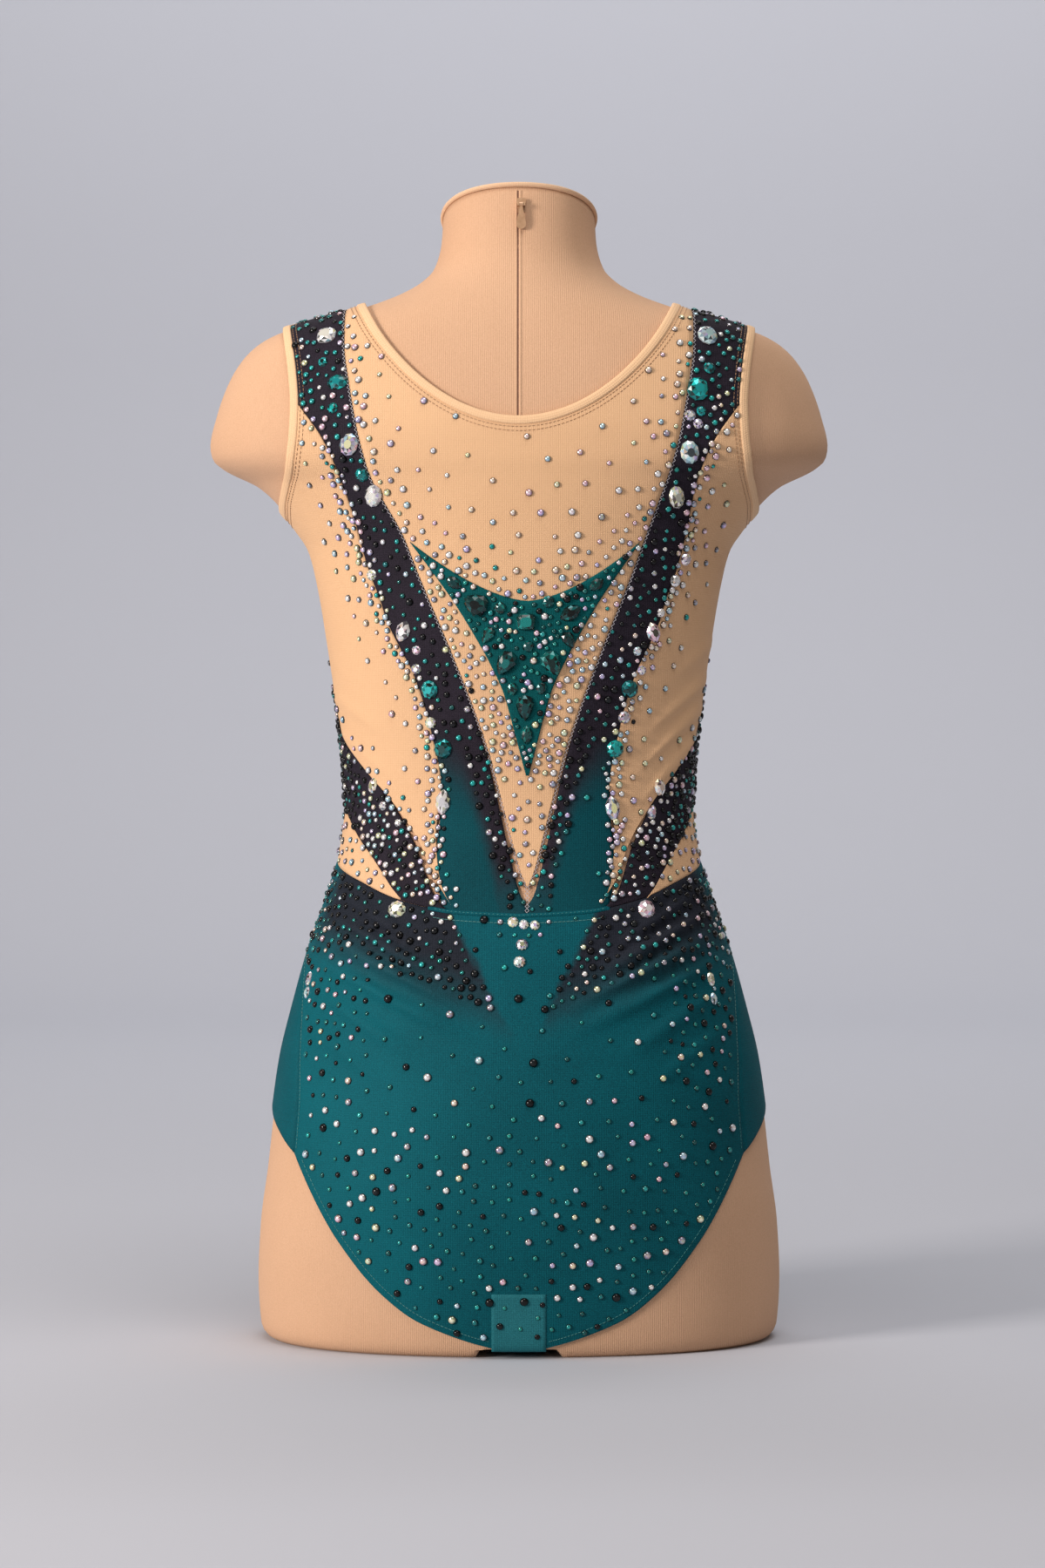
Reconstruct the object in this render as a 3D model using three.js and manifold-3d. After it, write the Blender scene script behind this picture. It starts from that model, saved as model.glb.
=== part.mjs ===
// Rhythmic gymnastics leotard on a limbless dress form, in millimetres, +Z up.
// The form stands on its thigh bottoms at z = 0, and the back of the garment faces -Y.
// A place on the body is given by its turn, the degrees round from the centre back, and its height z.
import * as THREE from 'three';
import Module from 'manifold-3d';

const wasm = await Module();
wasm.setup();

// Cloth and seams
const clearance = 0.9; // between the form and the cloth
const shoulderLift = { by: 0.5, from: 515, to: 560 }; // the cloth stands a little off the shoulders
const wall = 1.2; // cloth thickness
const seam = 0.35; // gap between two panels at a seam
const edgeLap = 2.5; // panels run this far under a binding before they are trimmed
const bindingWidth = 5.5;
const bindingWall = 2.2;
const appliqueGap = 0.6; // between a panel and what is laid on it

// Dress form
const neckTopLevel = 728;
const neckTilt = 0.31; // the neck is cut lower at the front
const tiltStart = 700;
const rim = { halfWidth: 49, depth: 46 }; // of the neck, which the cap grows from
const capThickness = 3;
const capLip = 0.9;
const fullness = 0.12; // how much squarer than an ellipse a section is
const thighGap = { halfWidth: 27, height: 6 };

// Sections of the dress form, from the thigh bottoms to the neck
const formSections = [
  { z: 0, halfWidth: 161, back: 94, front: 74 },
  { z: 3, halfWidth: 165.5, back: 98.5, front: 78.5 },
  { z: 10, halfWidth: 168.5, back: 101.5, front: 81 },
  { z: 40, halfWidth: 170.2, back: 107, front: 84 },
  { z: 75, halfWidth: 168.6, back: 112.5, front: 86 },
  { z: 110, halfWidth: 164, back: 116, front: 88.5 },
  { z: 150, halfWidth: 159.5, back: 114.5, front: 92 },
  { z: 183, halfWidth: 154.6, back: 109.5, front: 94.5 },
  { z: 217, halfWidth: 146.3, back: 101.5, front: 94 },
  { z: 252, halfWidth: 136.5, back: 92, front: 91 },
  { z: 286, halfWidth: 124.6, back: 82, front: 87 },
  { z: 320, halfWidth: 115, back: 74.5, front: 84 },
  { z: 345, halfWidth: 112.2, back: 72, front: 83.5 },
  { z: 371, halfWidth: 113.4, back: 73, front: 86 },
  { z: 405, halfWidth: 117, back: 77, front: 93 },
  { z: 457, halfWidth: 124.5, back: 84, front: 105 },
  { z: 491, halfWidth: 130.4, back: 88, front: 110 },
  { z: 513, halfWidth: 136.2, back: 90, front: 108 },
  { z: 526, halfWidth: 144.5, back: 91, front: 106.5 },
  { z: 540, halfWidth: 155.5, back: 92, front: 104.5 },
  { z: 554, halfWidth: 170.5, back: 93, front: 102 },
  { z: 566, halfWidth: 194, back: 94, front: 99.5 },
  { z: 572, halfWidth: 200.3, back: 94, front: 98 },
  { z: 580, halfWidth: 201.8, back: 94, front: 96 },
  { z: 600, halfWidth: 197.5, back: 92, front: 91 },
  { z: 622, halfWidth: 189.5, back: 88, front: 83.5 },
  { z: 636, halfWidth: 181, back: 84.5, front: 78 },
  { z: 645, halfWidth: 172, back: 82, front: 74.5 },
  { z: 651, halfWidth: 162, back: 80, front: 72.5 },
  { z: 656, halfWidth: 148, back: 78, front: 70.5 },
  { z: 663, halfWidth: 124, back: 75, front: 67.5 },
  { z: 670, halfWidth: 100, back: 71, front: 64 },
  { z: 678, halfWidth: 79, back: 66, front: 61 },
  { z: 686, halfWidth: 65, back: 61, front: 58 },
  { z: 696, halfWidth: 55.5, back: 55.5, front: 55 },
  { z: 714, halfWidth: 50.5, back: 49.5, front: 52 },
  { z: 745, halfWidth: 49, back: 44, front: 49 },
];

// Cut lines of the back, as distances from the centre line
const bandInner = [
  { z: 240, x: 0 },
  { z: 292, x: 0 },
  { z: 303, x: 4 },
  { z: 324, x: 9.7 },
  { z: 351, x: 16.5 },
  { z: 380, x: 24 },
  { z: 407, x: 33 },
  { z: 446, x: 48 },
  { z: 490, x: 66 },
  { z: 520, x: 77.5 },
  { z: 538, x: 86 },
  { z: 551, x: 92 },
  { z: 562, x: 96 },
  { z: 580, x: 101 },
  { z: 601, x: 105 },
  { z: 619, x: 108 },
  { z: 634, x: 110 },
  { z: 680, x: 111 },
];
const bandOuter = [
  { z: 270, x: 43 },
  { z: 281.7, x: 46.3 },
  { z: 291.6, x: 52.5 },
  { z: 327, x: 56 },
  { z: 360, x: 53 },
  { z: 399, x: 60 },
  { z: 431, x: 70 },
  { z: 446, x: 77.5 },
  { z: 464, x: 86 },
  { z: 477, x: 90 },
  { z: 493, x: 96 },
  { z: 506, x: 100 },
  { z: 520, x: 103.5 },
  { z: 541, x: 108.5 },
  { z: 562, x: 115.5 },
  { z: 579, x: 124 },
  { z: 594, x: 134.5 },
  { z: 600, x: 139 },
  { z: 612, x: 150 },
  { z: 680, x: 170 },
];
const armhole = [
  { z: 500, x: 158 },
  { z: 540, x: 154.5 },
  { z: 550, x: 151.5 },
  { z: 565, x: 147.5 },
  { z: 585, x: 145 },
  { z: 600, x: 144.5 },
  { z: 620, x: 146 },
  { z: 640, x: 149 },
  { z: 656, x: 152.5 },
  { z: 680, x: 156 },
];
const kiteSide = [
  { z: 365.5, x: 1 },
  { z: 404, x: 11 },
  { z: 418, x: 15 },
  { z: 437, x: 23.6 },
  { z: 457, x: 34.6 },
  { z: 476, x: 46 },
  { z: 492, x: 57 },
  { z: 513, x: 72 },
];
const briefHem = [
  { z: 7, x: 15 },
  { z: 11, x: 30.5 },
  { z: 17, x: 48 },
  { z: 25, x: 66 },
  { z: 38, x: 83.5 },
  { z: 50, x: 95.7 },
  { z: 64, x: 107 },
  { z: 79, x: 117.7 },
  { z: 111, x: 135.4 },
  { z: 125, x: 142 },
];

// Cut lines that run round the sides, in degrees of turn
const wedgeUpper = [
  { turn: 21.6, z: 281.7 },
  { turn: 25.2, z: 291.6 },
  { turn: 28.6, z: 300 },
  { turn: 31.8, z: 311 },
  { turn: 36, z: 324.5 },
  { turn: 42.5, z: 339 },
  { turn: 49, z: 352 },
  { turn: 57, z: 364 },
  { turn: 65, z: 375 },
  { turn: 77, z: 391 },
  { turn: 84, z: 408 },
  { turn: 92, z: 428 },
];
const wedgeLower = [
  { turn: 38, z: 286.2 },
  { turn: 42, z: 293 },
  { turn: 48, z: 303.6 },
  { turn: 54.6, z: 313.5 },
  { turn: 64, z: 325 },
  { turn: 75, z: 337 },
  { turn: 84, z: 345 },
  { turn: 92, z: 352 },
];
const waistSeam = [
  { turn: 0, z: 276.5 },
  { turn: 20, z: 279 },
  { turn: 29.5, z: 282.5 },
  { turn: 39, z: 287 },
  { turn: 56, z: 297 },
  { turn: 75, z: 305 },
  { turn: 92, z: 311 },
  { turn: 135, z: 316 },
  { turn: 180, z: 311 },
];
const briefSideSeam = [
  { z: 125, turn: 61 },
  { z: 152, turn: 61.5 },
  { z: 190, turn: 65.5 },
  { z: 220, turn: 72 },
  { z: 238, turn: 78 },
  { z: 256, turn: 89 },
  { z: 320, turn: 92 },
];
const chestSeam = [
  { turn: 92, z: 569 },
  { turn: 131, z: 566 },
  { turn: 150, z: 557 },
  { turn: 180, z: 550 },
];
// The bottom edge of the brief's front, from the side seam (share 0) to the centre (share 1)
const frontHem = [
  { share: 0, turn: 61, z: 125 },
  { share: 0.08, turn: 75, z: 141 },
  { share: 0.16, turn: 90, z: 152 },
  { share: 0.26, turn: 105, z: 151 },
  { share: 0.36, turn: 123, z: 146 },
  { share: 0.48, turn: 138, z: 134 },
  { share: 0.6, turn: 150.5, z: 113 },
  { share: 0.7, turn: 159, z: 88 },
  { share: 0.79, turn: 165.3, z: 60 },
  { share: 0.87, turn: 169.8, z: 34 },
  { share: 0.94, turn: 173.5, z: 14 },
  { share: 1, turn: 180, z: 8 },
];

const bodiceSideTurn = 92;
const sideGapTurn = 0.12; // half the gap at a side seam, in degrees
const neckline = { halfWidth: 99, backLow: 591, frontLow: 566, power: 1.6 };
const yokeTip = { z: 297.5, halfWidth: 0.7 };
const kiteTop = { z: 475.5, rise: 37.5, halfWidth: 72, power: 1.6 };
const sideMeshFoot = 294.5;
const wedgeFootTurn = 22;
const waistMeshTip = 40.2;
const gussetCut = { halfWidth: 17, backTop: 42, frontTop: 52, wall: 1, fold: 5 };

// The bodice sits a little to the right of the form's centre line
const lean = { shift: 5.3, low: 240, lowFull: 285, highFull: 510, high: 560 };

// Drag folds on the hips of the brief, mirrored: each a soft ridge between two places
const hipFolds = [
  { fromX: 114, fromZ: 291, toX: 66, toZ: 256, width: 6, height: 1.5 },
  { fromX: 119, fromZ: 273, toX: 50, toZ: 236, width: 7, height: 1.9 },
  { fromX: 123, fromZ: 254, toX: 38, toZ: 220, width: 7, height: 1.2 },
  { fromX: 127, fromZ: 237, toX: 78, toZ: 212, width: 6, height: 0.8 },
];
const leftFoldShare = 0.8; // the left hip is pulled a little less

// Large stones, mirrored: where they sit, how wide and tall they are
const bandStones = [
  { x: 121, z: 647, wide: 13, tall: 12 },
  { x: 114, z: 614, wide: 12, tall: 14 },
  { x: 124, z: 629, wide: 6.5, tall: 6.5 },
  { x: 117, z: 598, wide: 7, tall: 7 },
  { x: 107, z: 574, wide: 12, tall: 14.5 },
  { x: 101, z: 557, wide: 8.5, tall: 8.5 },
  { x: 96, z: 541, wide: 11.5, tall: 14.5 },
  { x: 75, z: 457, wide: 10, tall: 13.5 },
  { x: 59, z: 420, wide: 11.5, tall: 12 },
  { x: 50.5, z: 383, wide: 11, tall: 12.5 },
  { x: 47.5, z: 349, wide: 9.5, tall: 16 },
];
const sideMeshStones = [
  { x: 101, z: 491, wide: 7.5, tall: 7.5 },
  { x: 65.5, z: 399, wide: 7, tall: 7.5 },
];
const wedgeStones = [
  { x: 96, z: 354, wide: 7, tall: 10.5 },
  { x: 86, z: 343, wide: 6, tall: 6 },
];
const briefStones = [
  { x: 79, z: 277.5, wide: 12, tall: 11 },
  { x: 130, z: 227, wide: 7, tall: 9 },
];
const kiteStones = [
  { x: 31, z: 472, wide: 14, tall: 13 },
  { x: 14, z: 437, wide: 13, tall: 16 },
];
const kiteMiddleStones = [
  { x: 0, z: 461, wide: 13, tall: 13 },
  { x: 0, z: 409, wide: 9, tall: 14 },
];
const stone = { sides: 6, heightShare: 0.32, tableShare: 0.55, sunk: 0.6 };

// Zip of the form's cover
const zip = { x: 1.5, belowRim: 9, seat: 0.45 };
const slider = { topWidth: 6.4, footWidth: 4.2, length: 9.5, thick: 2 };
const pull = { width: 6, length: 16, thick: 1.2, eyeRadius: 1.5, eyeBore: 0.95, eyeWidth: 2.4 };
const pinRadius = 0.55;
const earWidth = 1;

const radians = THREE.MathUtils.degToRad;
const degrees = THREE.MathUtils.radToDeg;
const { lerp, clamp, smoothstep } = THREE.MathUtils;

// A smooth curve through a table's rows that never overshoots them
function curveThrough(rows, key, value) {
  const at = rows.map((row) => row[key]);
  const val = rows.map((row) => row[value]);
  const steps = at.slice(1).map((a, i) => a - at[i]);
  const slopes = steps.map((step, i) => (val[i + 1] - val[i]) / step);
  const tangents = at.map((_, i) => {
    if (i === 0) return slopes[0];
    if (i === slopes.length) return slopes[i - 1];
    if (slopes[i - 1] * slopes[i] <= 0) return 0;
    const before = 2 * steps[i] + steps[i - 1];
    const after = steps[i] + 2 * steps[i - 1];
    return (before + after) / (before / slopes[i - 1] + after / slopes[i]);
  });
  return (where) => {
    const t = clamp(where, at[0], at[at.length - 1]);
    let i = 0;
    while (i < steps.length - 1 && t > at[i + 1]) i += 1;
    const s = (t - at[i]) / steps[i];
    const rise = s * s * (3 - 2 * s);
    const leave = s * (1 - s) * (1 - s) * steps[i];
    const arrive = s * s * (s - 1) * steps[i];
    return val[i] + rise * (val[i + 1] - val[i]) + leave * tangents[i] + arrive * tangents[i + 1];
  };
}

const formHalfWidth = curveThrough(formSections, 'z', 'halfWidth');
const formBack = curveThrough(formSections, 'z', 'back');
const formFront = curveThrough(formSections, 'z', 'front');

// The form's surface at a turn in radians and a height
function formPoint(turn, z) {
  const across = Math.sin(turn);
  const along = Math.cos(turn);
  const deep = along > 0 ? formBack(z) : formFront(z);
  const y = -deep * along * (1 + fullness * across * across);
  const tilt = neckTilt * smoothstep(z, tiltStart, neckTopLevel);
  return new THREE.Vector3(formHalfWidth(z) * across, y, z - tilt * y);
}

function formNormal(turn, z) {
  const low = Math.max(z - 0.05, 0);
  const round = formPoint(turn + 0.002, z).sub(formPoint(turn - 0.002, z));
  const up = formPoint(turn, low + 0.1).sub(formPoint(turn, low));
  return round.cross(up).normalize();
}

// A place on the inner face of the cloth, and the way out from the body
function onCloth(turn, z, raised = 0) {
  const normal = formNormal(turn, z);
  const lift = shoulderLift.by * smoothstep(z, shoulderLift.from, shoulderLift.to);
  const point = formPoint(turn, z).addScaledVector(normal, clearance + lift + raised);
  return { point, normal };
}

function crossing(low, high, reached) {
  for (let i = 0; i < 50; i += 1) {
    const middle = (low + high) / 2;
    if (reached(middle)) high = middle;
    else low = middle;
  }
  return (low + high) / 2;
}

const shoulderHeight = (x) => crossing(590, neckTopLevel, (z) => formHalfWidth(z) < Math.abs(x));

function leanAt(z) {
  return lean.shift * smoothstep(z, lean.low, lean.lowFull) * (1 - smoothstep(z, lean.highFull, lean.high));
}

// The turn at a distance from the garment's centre line, on the back or the front
function turnAt(x, z, front = false) {
  const share = clamp(x / formHalfWidth(z), -1, 1);
  if (front) return Math.PI - Math.asin(share);
  const shift = (leanAt(z) * (1 - share * share)) / formHalfWidth(z);
  return Math.asin(clamp(share + shift, -1, 1));
}

// Steps that start fine at the shoulder, where the cloth turns over
const startFine = 0.2;
function fromShoulder(v) {
  if (v < startFine) return (v * v) / (startFine * (2 - startFine));
  return (2 * v - startFine) / (2 - startFine);
}

// A closed solid from two faces of a grid and the edges between them
function wallSolid({ columns, rows, at, thick = wall, loop = false }) {
  const around = loop ? columns : columns + 1;
  const inner = [];
  const outer = [];
  for (let r = 0; r <= rows; r += 1) {
    for (let c = 0; c < around; c += 1) {
      const { point, normal } = at(c / columns, r / rows);
      inner.push(point);
      outer.push(point.clone().addScaledVector(normal, thick));
    }
  }
  const index = (r, c) => r * around + (c % around);
  const middle = index(Math.floor(rows / 2), Math.floor(columns / 2));
  const nextColumn = index(Math.floor(rows / 2), Math.floor(columns / 2) + 1);
  const nextRow = middle + (Math.floor(rows / 2) + 1 <= rows ? around : -around);
  const facing = new THREE.Vector3()
    .crossVectors(outer[nextColumn].clone().sub(outer[middle]), outer[nextRow].clone().sub(outer[middle]))
    .dot(outer[middle].clone().sub(inner[middle]));
  const flip = facing < 0;
  const faces = [];
  const count = inner.length;
  const addQuad = (a, b, c, d) => faces.push([a, b, c], [a, c, d]);
  for (let r = 0; r < rows; r += 1) {
    for (let c = 0; c < columns; c += 1) {
      const quad = [index(r, c), index(r, c + 1), index(r + 1, c + 1), index(r + 1, c)];
      addQuad(...quad);
      addQuad(quad[0] + count, quad[3] + count, quad[2] + count, quad[1] + count);
    }
  }
  // The inner face is split along the same diagonals as the outer one
  const addEdge = (a, b) => addQuad(b, a, a + count, b + count);
  for (let c = 0; c < columns; c += 1) {
    addEdge(index(0, c), index(0, c + 1));
    addEdge(index(rows, c + 1), index(rows, c));
  }
  if (!loop) {
    for (let r = 0; r < rows; r += 1) {
      addEdge(index(r, columns), index(r + 1, columns));
      addEdge(index(r + 1, 0), index(r, 0));
    }
  }
  return meshSolid([...outer, ...inner], flip ? faces.map(([a, b, c]) => [a, c, b]) : faces);
}

function meshSolid(points, faces) {
  const geometry = new THREE.BufferGeometry();
  geometry.setAttribute('position', new THREE.Float32BufferAttribute(points.flatMap((p) => p.toArray()), 3));
  geometry.setIndex(faces.flat());
  return toSolid(geometry);
}

function toSolid(geometry) {
  const { index, attributes } = geometry;
  const vertProperties = Float32Array.from(attributes.position.array);
  const triVerts = Uint32Array.from(index.array);
  const mesh = new wasm.Mesh({ numProp: 3, vertProperties, triVerts });
  mesh.merge();
  return new wasm.Manifold(mesh);
}

function toGeometry(solid) {
  const { numProp, vertProperties, triVerts } = solid.getMesh();
  const points = [];
  for (let i = 0; i < vertProperties.length; i += numProp) points.push(...vertProperties.slice(i, i + 3));
  const geometry = new THREE.BufferGeometry();
  geometry.setAttribute('position', new THREE.Float32BufferAttribute(points, 3));
  geometry.setIndex(Array.from(triVerts));
  geometry.computeVertexNormals();
  return geometry;
}

const finishes = {
  jersey: { color: '#d6a17a', roughness: 0.85 },
  piping: { color: '#e2bd9a', roughness: 0.8 },
  nudeMesh: { color: '#e2b684', roughness: 0.75 },
  nudeBinding: { color: '#e6c08e', roughness: 0.6 },
  blackKnit: { color: '#2a2630', roughness: 0.55 },
  tealKnit: { color: '#0c585b', roughness: 0.5 },
  tealApplique: { color: '#0a6a69', roughness: 0.4 },
  tealGusset: { color: '#1f6d6e', roughness: 0.55 },
  zipMetal: { color: '#c9a98c', roughness: 0.35, metalness: 0.8 },
};
const materials = Object.fromEntries(
  Object.entries(finishes).map(([name, finish]) => [name, new THREE.MeshStandardMaterial(finish)]),
);

function named(name, material, solid) {
  const mesh = new THREE.Mesh(toGeometry(solid), materials[material]);
  mesh.name = name;
  return mesh;
}

const object = new THREE.Group();
const form = new THREE.Group();
const garment = new THREE.Group();
object.add(form, garment);

// Dress form: rings from the thigh bottoms up to the neck
function ringHeights(step) {
  const heights = [0, 3, 10];
  let z = 10;
  while (z < neckTopLevel - 4) {
    const slope = formHalfWidth(z + 1) - formHalfWidth(z);
    const underArm = z > 500 && z < 590;
    z += (underArm ? step * 0.65 : step) / Math.hypot(1, slope);
    heights.push(z);
  }
  heights[heights.length - 1] = neckTopLevel;
  return heights;
}

function ringLoft(rings) {
  const around = rings[0].length;
  const points = rings.flat();
  const faces = [];
  for (let r = 0; r < rings.length - 1; r += 1) {
    for (let c = 0; c < around; c += 1) {
      const a = r * around + c;
      const b = r * around + ((c + 1) % around);
      faces.push([a, b, b + around], [a, b + around, a + around]);
    }
  }
  const closeEnd = (first, turned) => {
    const centre = new THREE.Vector3();
    for (let c = 0; c < around; c += 1) centre.addScaledVector(points[first + c], 1 / around);
    points.push(centre);
    const middle = points.length - 1;
    for (let c = 0; c < around; c += 1) {
      const a = first + c;
      const b = first + ((c + 1) % around);
      faces.push(turned ? [middle, b, a] : [middle, a, b]);
    }
  };
  closeEnd(0, true);
  closeEnd((rings.length - 1) * around, false);
  return meshSolid(points, faces);
}

const formSides = 28;
const formRing = (z, place) =>
  Array.from({ length: formSides }, (_, i) => place((i / formSides) * 2 * Math.PI, z));

const formStep = 23;
const formTrimGap = 0.12;

function formSolid() {
  const rings = ringHeights(formStep).map((z) => formRing(z, formPoint));
  const gap = new THREE.Shape();
  gap.moveTo(-thighGap.halfWidth, -5);
  gap.lineTo(thighGap.halfWidth, -5);
  gap.lineTo(thighGap.halfWidth, thighGap.height - 3);
  gap.quadraticCurveTo(thighGap.halfWidth, thighGap.height, thighGap.halfWidth - 5, thighGap.height);
  gap.lineTo(5 - thighGap.halfWidth, thighGap.height);
  gap.quadraticCurveTo(-thighGap.halfWidth, thighGap.height, -thighGap.halfWidth, thighGap.height - 3);
  const cutter = extruded(gap, 300, 3);
  cutter.rotateX(Math.PI / 2);
  cutter.translate(0, 150, 0);
  return ringLoft(rings).subtract(toSolid(cutter));
}

// Trims what coarse facets of the cloth would sink into the form
const formTrim = ringLoft(ringHeights(formStep).map((z) =>
  formRing(z, (turn, level) => formPoint(turn, level).addScaledVector(formNormal(turn, level), formTrimGap))));

function capSolid() {
  const lipRing = (rise, grow) =>
    formRing(neckTopLevel, (turn, z) => {
      const edge = formPoint(turn, z);
      const scale = new THREE.Vector3(1 + grow / rim.halfWidth, 1 + grow / rim.depth, 1);
      return edge.multiply(scale).add(new THREE.Vector3(0, 0, rise));
    });
  return ringLoft([
    lipRing(seam, -0.4),
    lipRing(seam + 0.7, capLip),
    lipRing(capThickness - 0.6, capLip),
    lipRing(capThickness, -0.2),
  ]);
}

function extruded(shape, depth, curveSegments = 6) {
  const flat = new THREE.ExtrudeGeometry(shape, { depth, curveSegments, bevelEnabled: false });
  return indexed(flat);
}

// Welds a geometry's points by place alone
function indexed(geometry) {
  const { array } = geometry.attributes.position;
  const order = geometry.index ? geometry.index.array : array.keys();
  const known = new Map();
  const points = [];
  const weld = (i) => {
    const place = [array[3 * i], array[3 * i + 1], array[3 * i + 2]];
    const key = place.map((value) => value.toFixed(4)).join();
    if (!known.has(key)) {
      known.set(key, points.length / 3);
      points.push(...place);
    }
    return known.get(key);
  };
  const corners = geometry.index
    ? Array.from(order, weld)
    : Array.from({ length: array.length / 3 }, (_, i) => weld(i));
  const faces = [];
  for (let i = 0; i < corners.length; i += 3) {
    const [a, b, c] = corners.slice(i, i + 3);
    if (a !== b && b !== c && c !== a) faces.push(a, b, c);
  }
  const welded = new THREE.BufferGeometry();
  welded.setAttribute('position', new THREE.Float32BufferAttribute(points, 3));
  welded.setIndex(faces);
  return welded;
}

// Zip slider: a shield with two ears and a pin that the pull's eye turns on
const pivotOut = slider.thick + zip.seat + pull.eyeRadius + 0.35;

function sliderSolid() {
  const shield = new THREE.Shape();
  const top = slider.topWidth / 2;
  const foot = slider.footWidth / 2;
  shield.moveTo(-foot, -slider.length / 2);
  shield.lineTo(foot, -slider.length / 2);
  shield.quadraticCurveTo(foot + 0.2, 0, top, slider.length / 2 - 1.6);
  shield.quadraticCurveTo(top, slider.length / 2, 0, slider.length / 2);
  shield.quadraticCurveTo(-top, slider.length / 2, -top, slider.length / 2 - 1.6);
  shield.quadraticCurveTo(-foot - 0.2, 0, -foot, -slider.length / 2);
  const body = extruded(shield, slider.thick, 4);
  body.rotateX(Math.PI / 2);
  body.translate(0, -zip.seat, 0);
  let solid = toSolid(body);
  const earPlace = pull.eyeWidth / 2 + 0.3 + earWidth / 2;
  for (const side of [-1, 1]) {
    const ear = new THREE.BoxGeometry(earWidth, pivotOut - zip.seat - 0.6 + 0.95, 2.2);
    ear.translate(side * earPlace, -(pivotOut + 0.95 + zip.seat + 0.6) / 2, 0);
    solid = solid.add(toSolid(indexed(ear)));
  }
  const pin = new THREE.CylinderGeometry(pinRadius, pinRadius, 2 * earPlace, 10);
  pin.rotateZ(Math.PI / 2);
  pin.translate(0, -pivotOut, 0);
  return solid.add(toSolid(indexed(pin)));
}

function pullSolid() {
  const eyeOutline = new THREE.Shape();
  eyeOutline.absarc(0, 0, pull.eyeRadius, 0, 2 * Math.PI);
  const bore = new THREE.Path();
  bore.absarc(0, 0, pull.eyeBore, 0, 2 * Math.PI, true);
  eyeOutline.holes.push(bore);
  const eye = extruded(eyeOutline, pull.eyeWidth, 7);
  eye.translate(0, 0, -pull.eyeWidth / 2);
  eye.rotateY(Math.PI / 2);
  const drop = new THREE.Shape();
  const half = pull.width / 2;
  drop.moveTo(-0.9, -pull.eyeBore - 0.15);
  drop.bezierCurveTo(-1, -5, -half, -8, -half, half - pull.length);
  drop.absarc(0, half - pull.length, half, Math.PI, 2 * Math.PI);
  drop.bezierCurveTo(half, -8, 1, -5, 0.9, -pull.eyeBore - 0.15);
  const tab = extruded(drop, pull.thick, 5);
  tab.rotateX(Math.PI / 2);
  tab.translate(0, pull.thick / 2, 0);
  return toSolid(eye).add(toSolid(tab));
}

form.add(named('dress_form', 'jersey', formSolid()));
form.add(named('neck_cap', 'piping', capSolid()));

// The slider lies against the back of the neck, and the pull hangs from its pin
const zipLevel = neckTopLevel - zip.belowRim;
const zipTurn = Math.asin(zip.x / formHalfWidth(zipLevel));
const sliderMesh = named('zip_slider', 'zipMetal', sliderSolid());
sliderMesh.position.copy(formPoint(zipTurn, zipLevel));
sliderMesh.rotation.x = -Math.asin(formNormal(zipTurn, zipLevel).z);
const pullMesh = named('zip_pull', 'zipMetal', pullSolid());
pullMesh.position.set(0, -pivotOut, 0).applyEuler(sliderMesh.rotation).add(sliderMesh.position);
form.add(sliderMesh, pullMesh);

// Neckline and armholes, at a margin outside the opening's edge
function neckPlace(margin, around) {
  const edge = neckline.halfWidth + margin;
  const top = shoulderHeight(edge);
  const front = Math.cos(around) < 0;
  const low = (front ? neckline.frontLow : neckline.backLow) - margin;
  const z = top - (top - low) * Math.abs(Math.cos(around)) ** neckline.power;
  return { turn: turnAt(edge * Math.sin(around), z, front), z };
}

const armholeWidth = curveThrough(armhole, 'z', 'x');
const panelMargin = bindingWidth - edgeLap;

function armholeEnds(margin) {
  const top = crossing(600, 690, (z) => formHalfWidth(z) < armholeWidth(z) - margin);
  const foot = crossing(500, 580, (z) => formHalfWidth(z) > armholeWidth(z) - margin);
  return { top, foot };
}

function armholePlace(margin, around) {
  const { top, foot } = armholeEnds(margin);
  const z = (top + foot) / 2 + ((top - foot) / 2) * Math.cos(around);
  return { turn: turnAt(armholeWidth(z) - margin, z, Math.sin(around) < 0), z };
}

// Shares of a path, from 0 to 1, at which its places lie evenly apart
function evenShares(path, count) {
  const fine = 400;
  const places = Array.from({ length: fine + 1 }, (_, i) => {
    const { turn, z } = path(i / fine);
    return formPoint(turn, z);
  });
  const lengths = [0];
  for (let i = 1; i <= fine; i += 1) lengths.push(lengths[i - 1] + places[i].distanceTo(places[i - 1]));
  const shares = [];
  let i = 0;
  for (let k = 0; k <= count; k += 1) {
    const wanted = (k / count) * lengths[fine];
    while (i < fine - 1 && lengths[i + 1] < wanted) i += 1;
    shares.push((i + (wanted - lengths[i]) / (lengths[i + 1] - lengths[i])) / fine);
  }
  return shares;
}

function bindingLoop(options) {
  const { columns, path, side = 1, from = 0, to = bindingWidth, sunk = 0, thick = bindingWall } = options;
  const shares = evenShares((share) => path(bindingWidth / 2, share * 2 * Math.PI), columns);
  return wallSolid({
    columns,
    rows: 1,
    loop: true,
    thick,
    at: (u, v) => {
      const { turn, z } = path(lerp(from, to, v), shares[Math.round(u * columns)] * 2 * Math.PI);
      return onCloth(side * turn, z, -sunk);
    },
  });
}

const neckLoop = { columns: 52, path: neckPlace };
const armholeLoop = { columns: 36, path: armholePlace };
const trimWay = { from: -3, to: bindingWidth + 1.5 * seam, sunk: 3, thick: 9 };
const neckTrim = bindingLoop({ ...neckLoop, ...trimWay });
const armholeTrims = [-1, 1].map((side) => bindingLoop({ ...armholeLoop, ...trimWay, side }));

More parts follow.
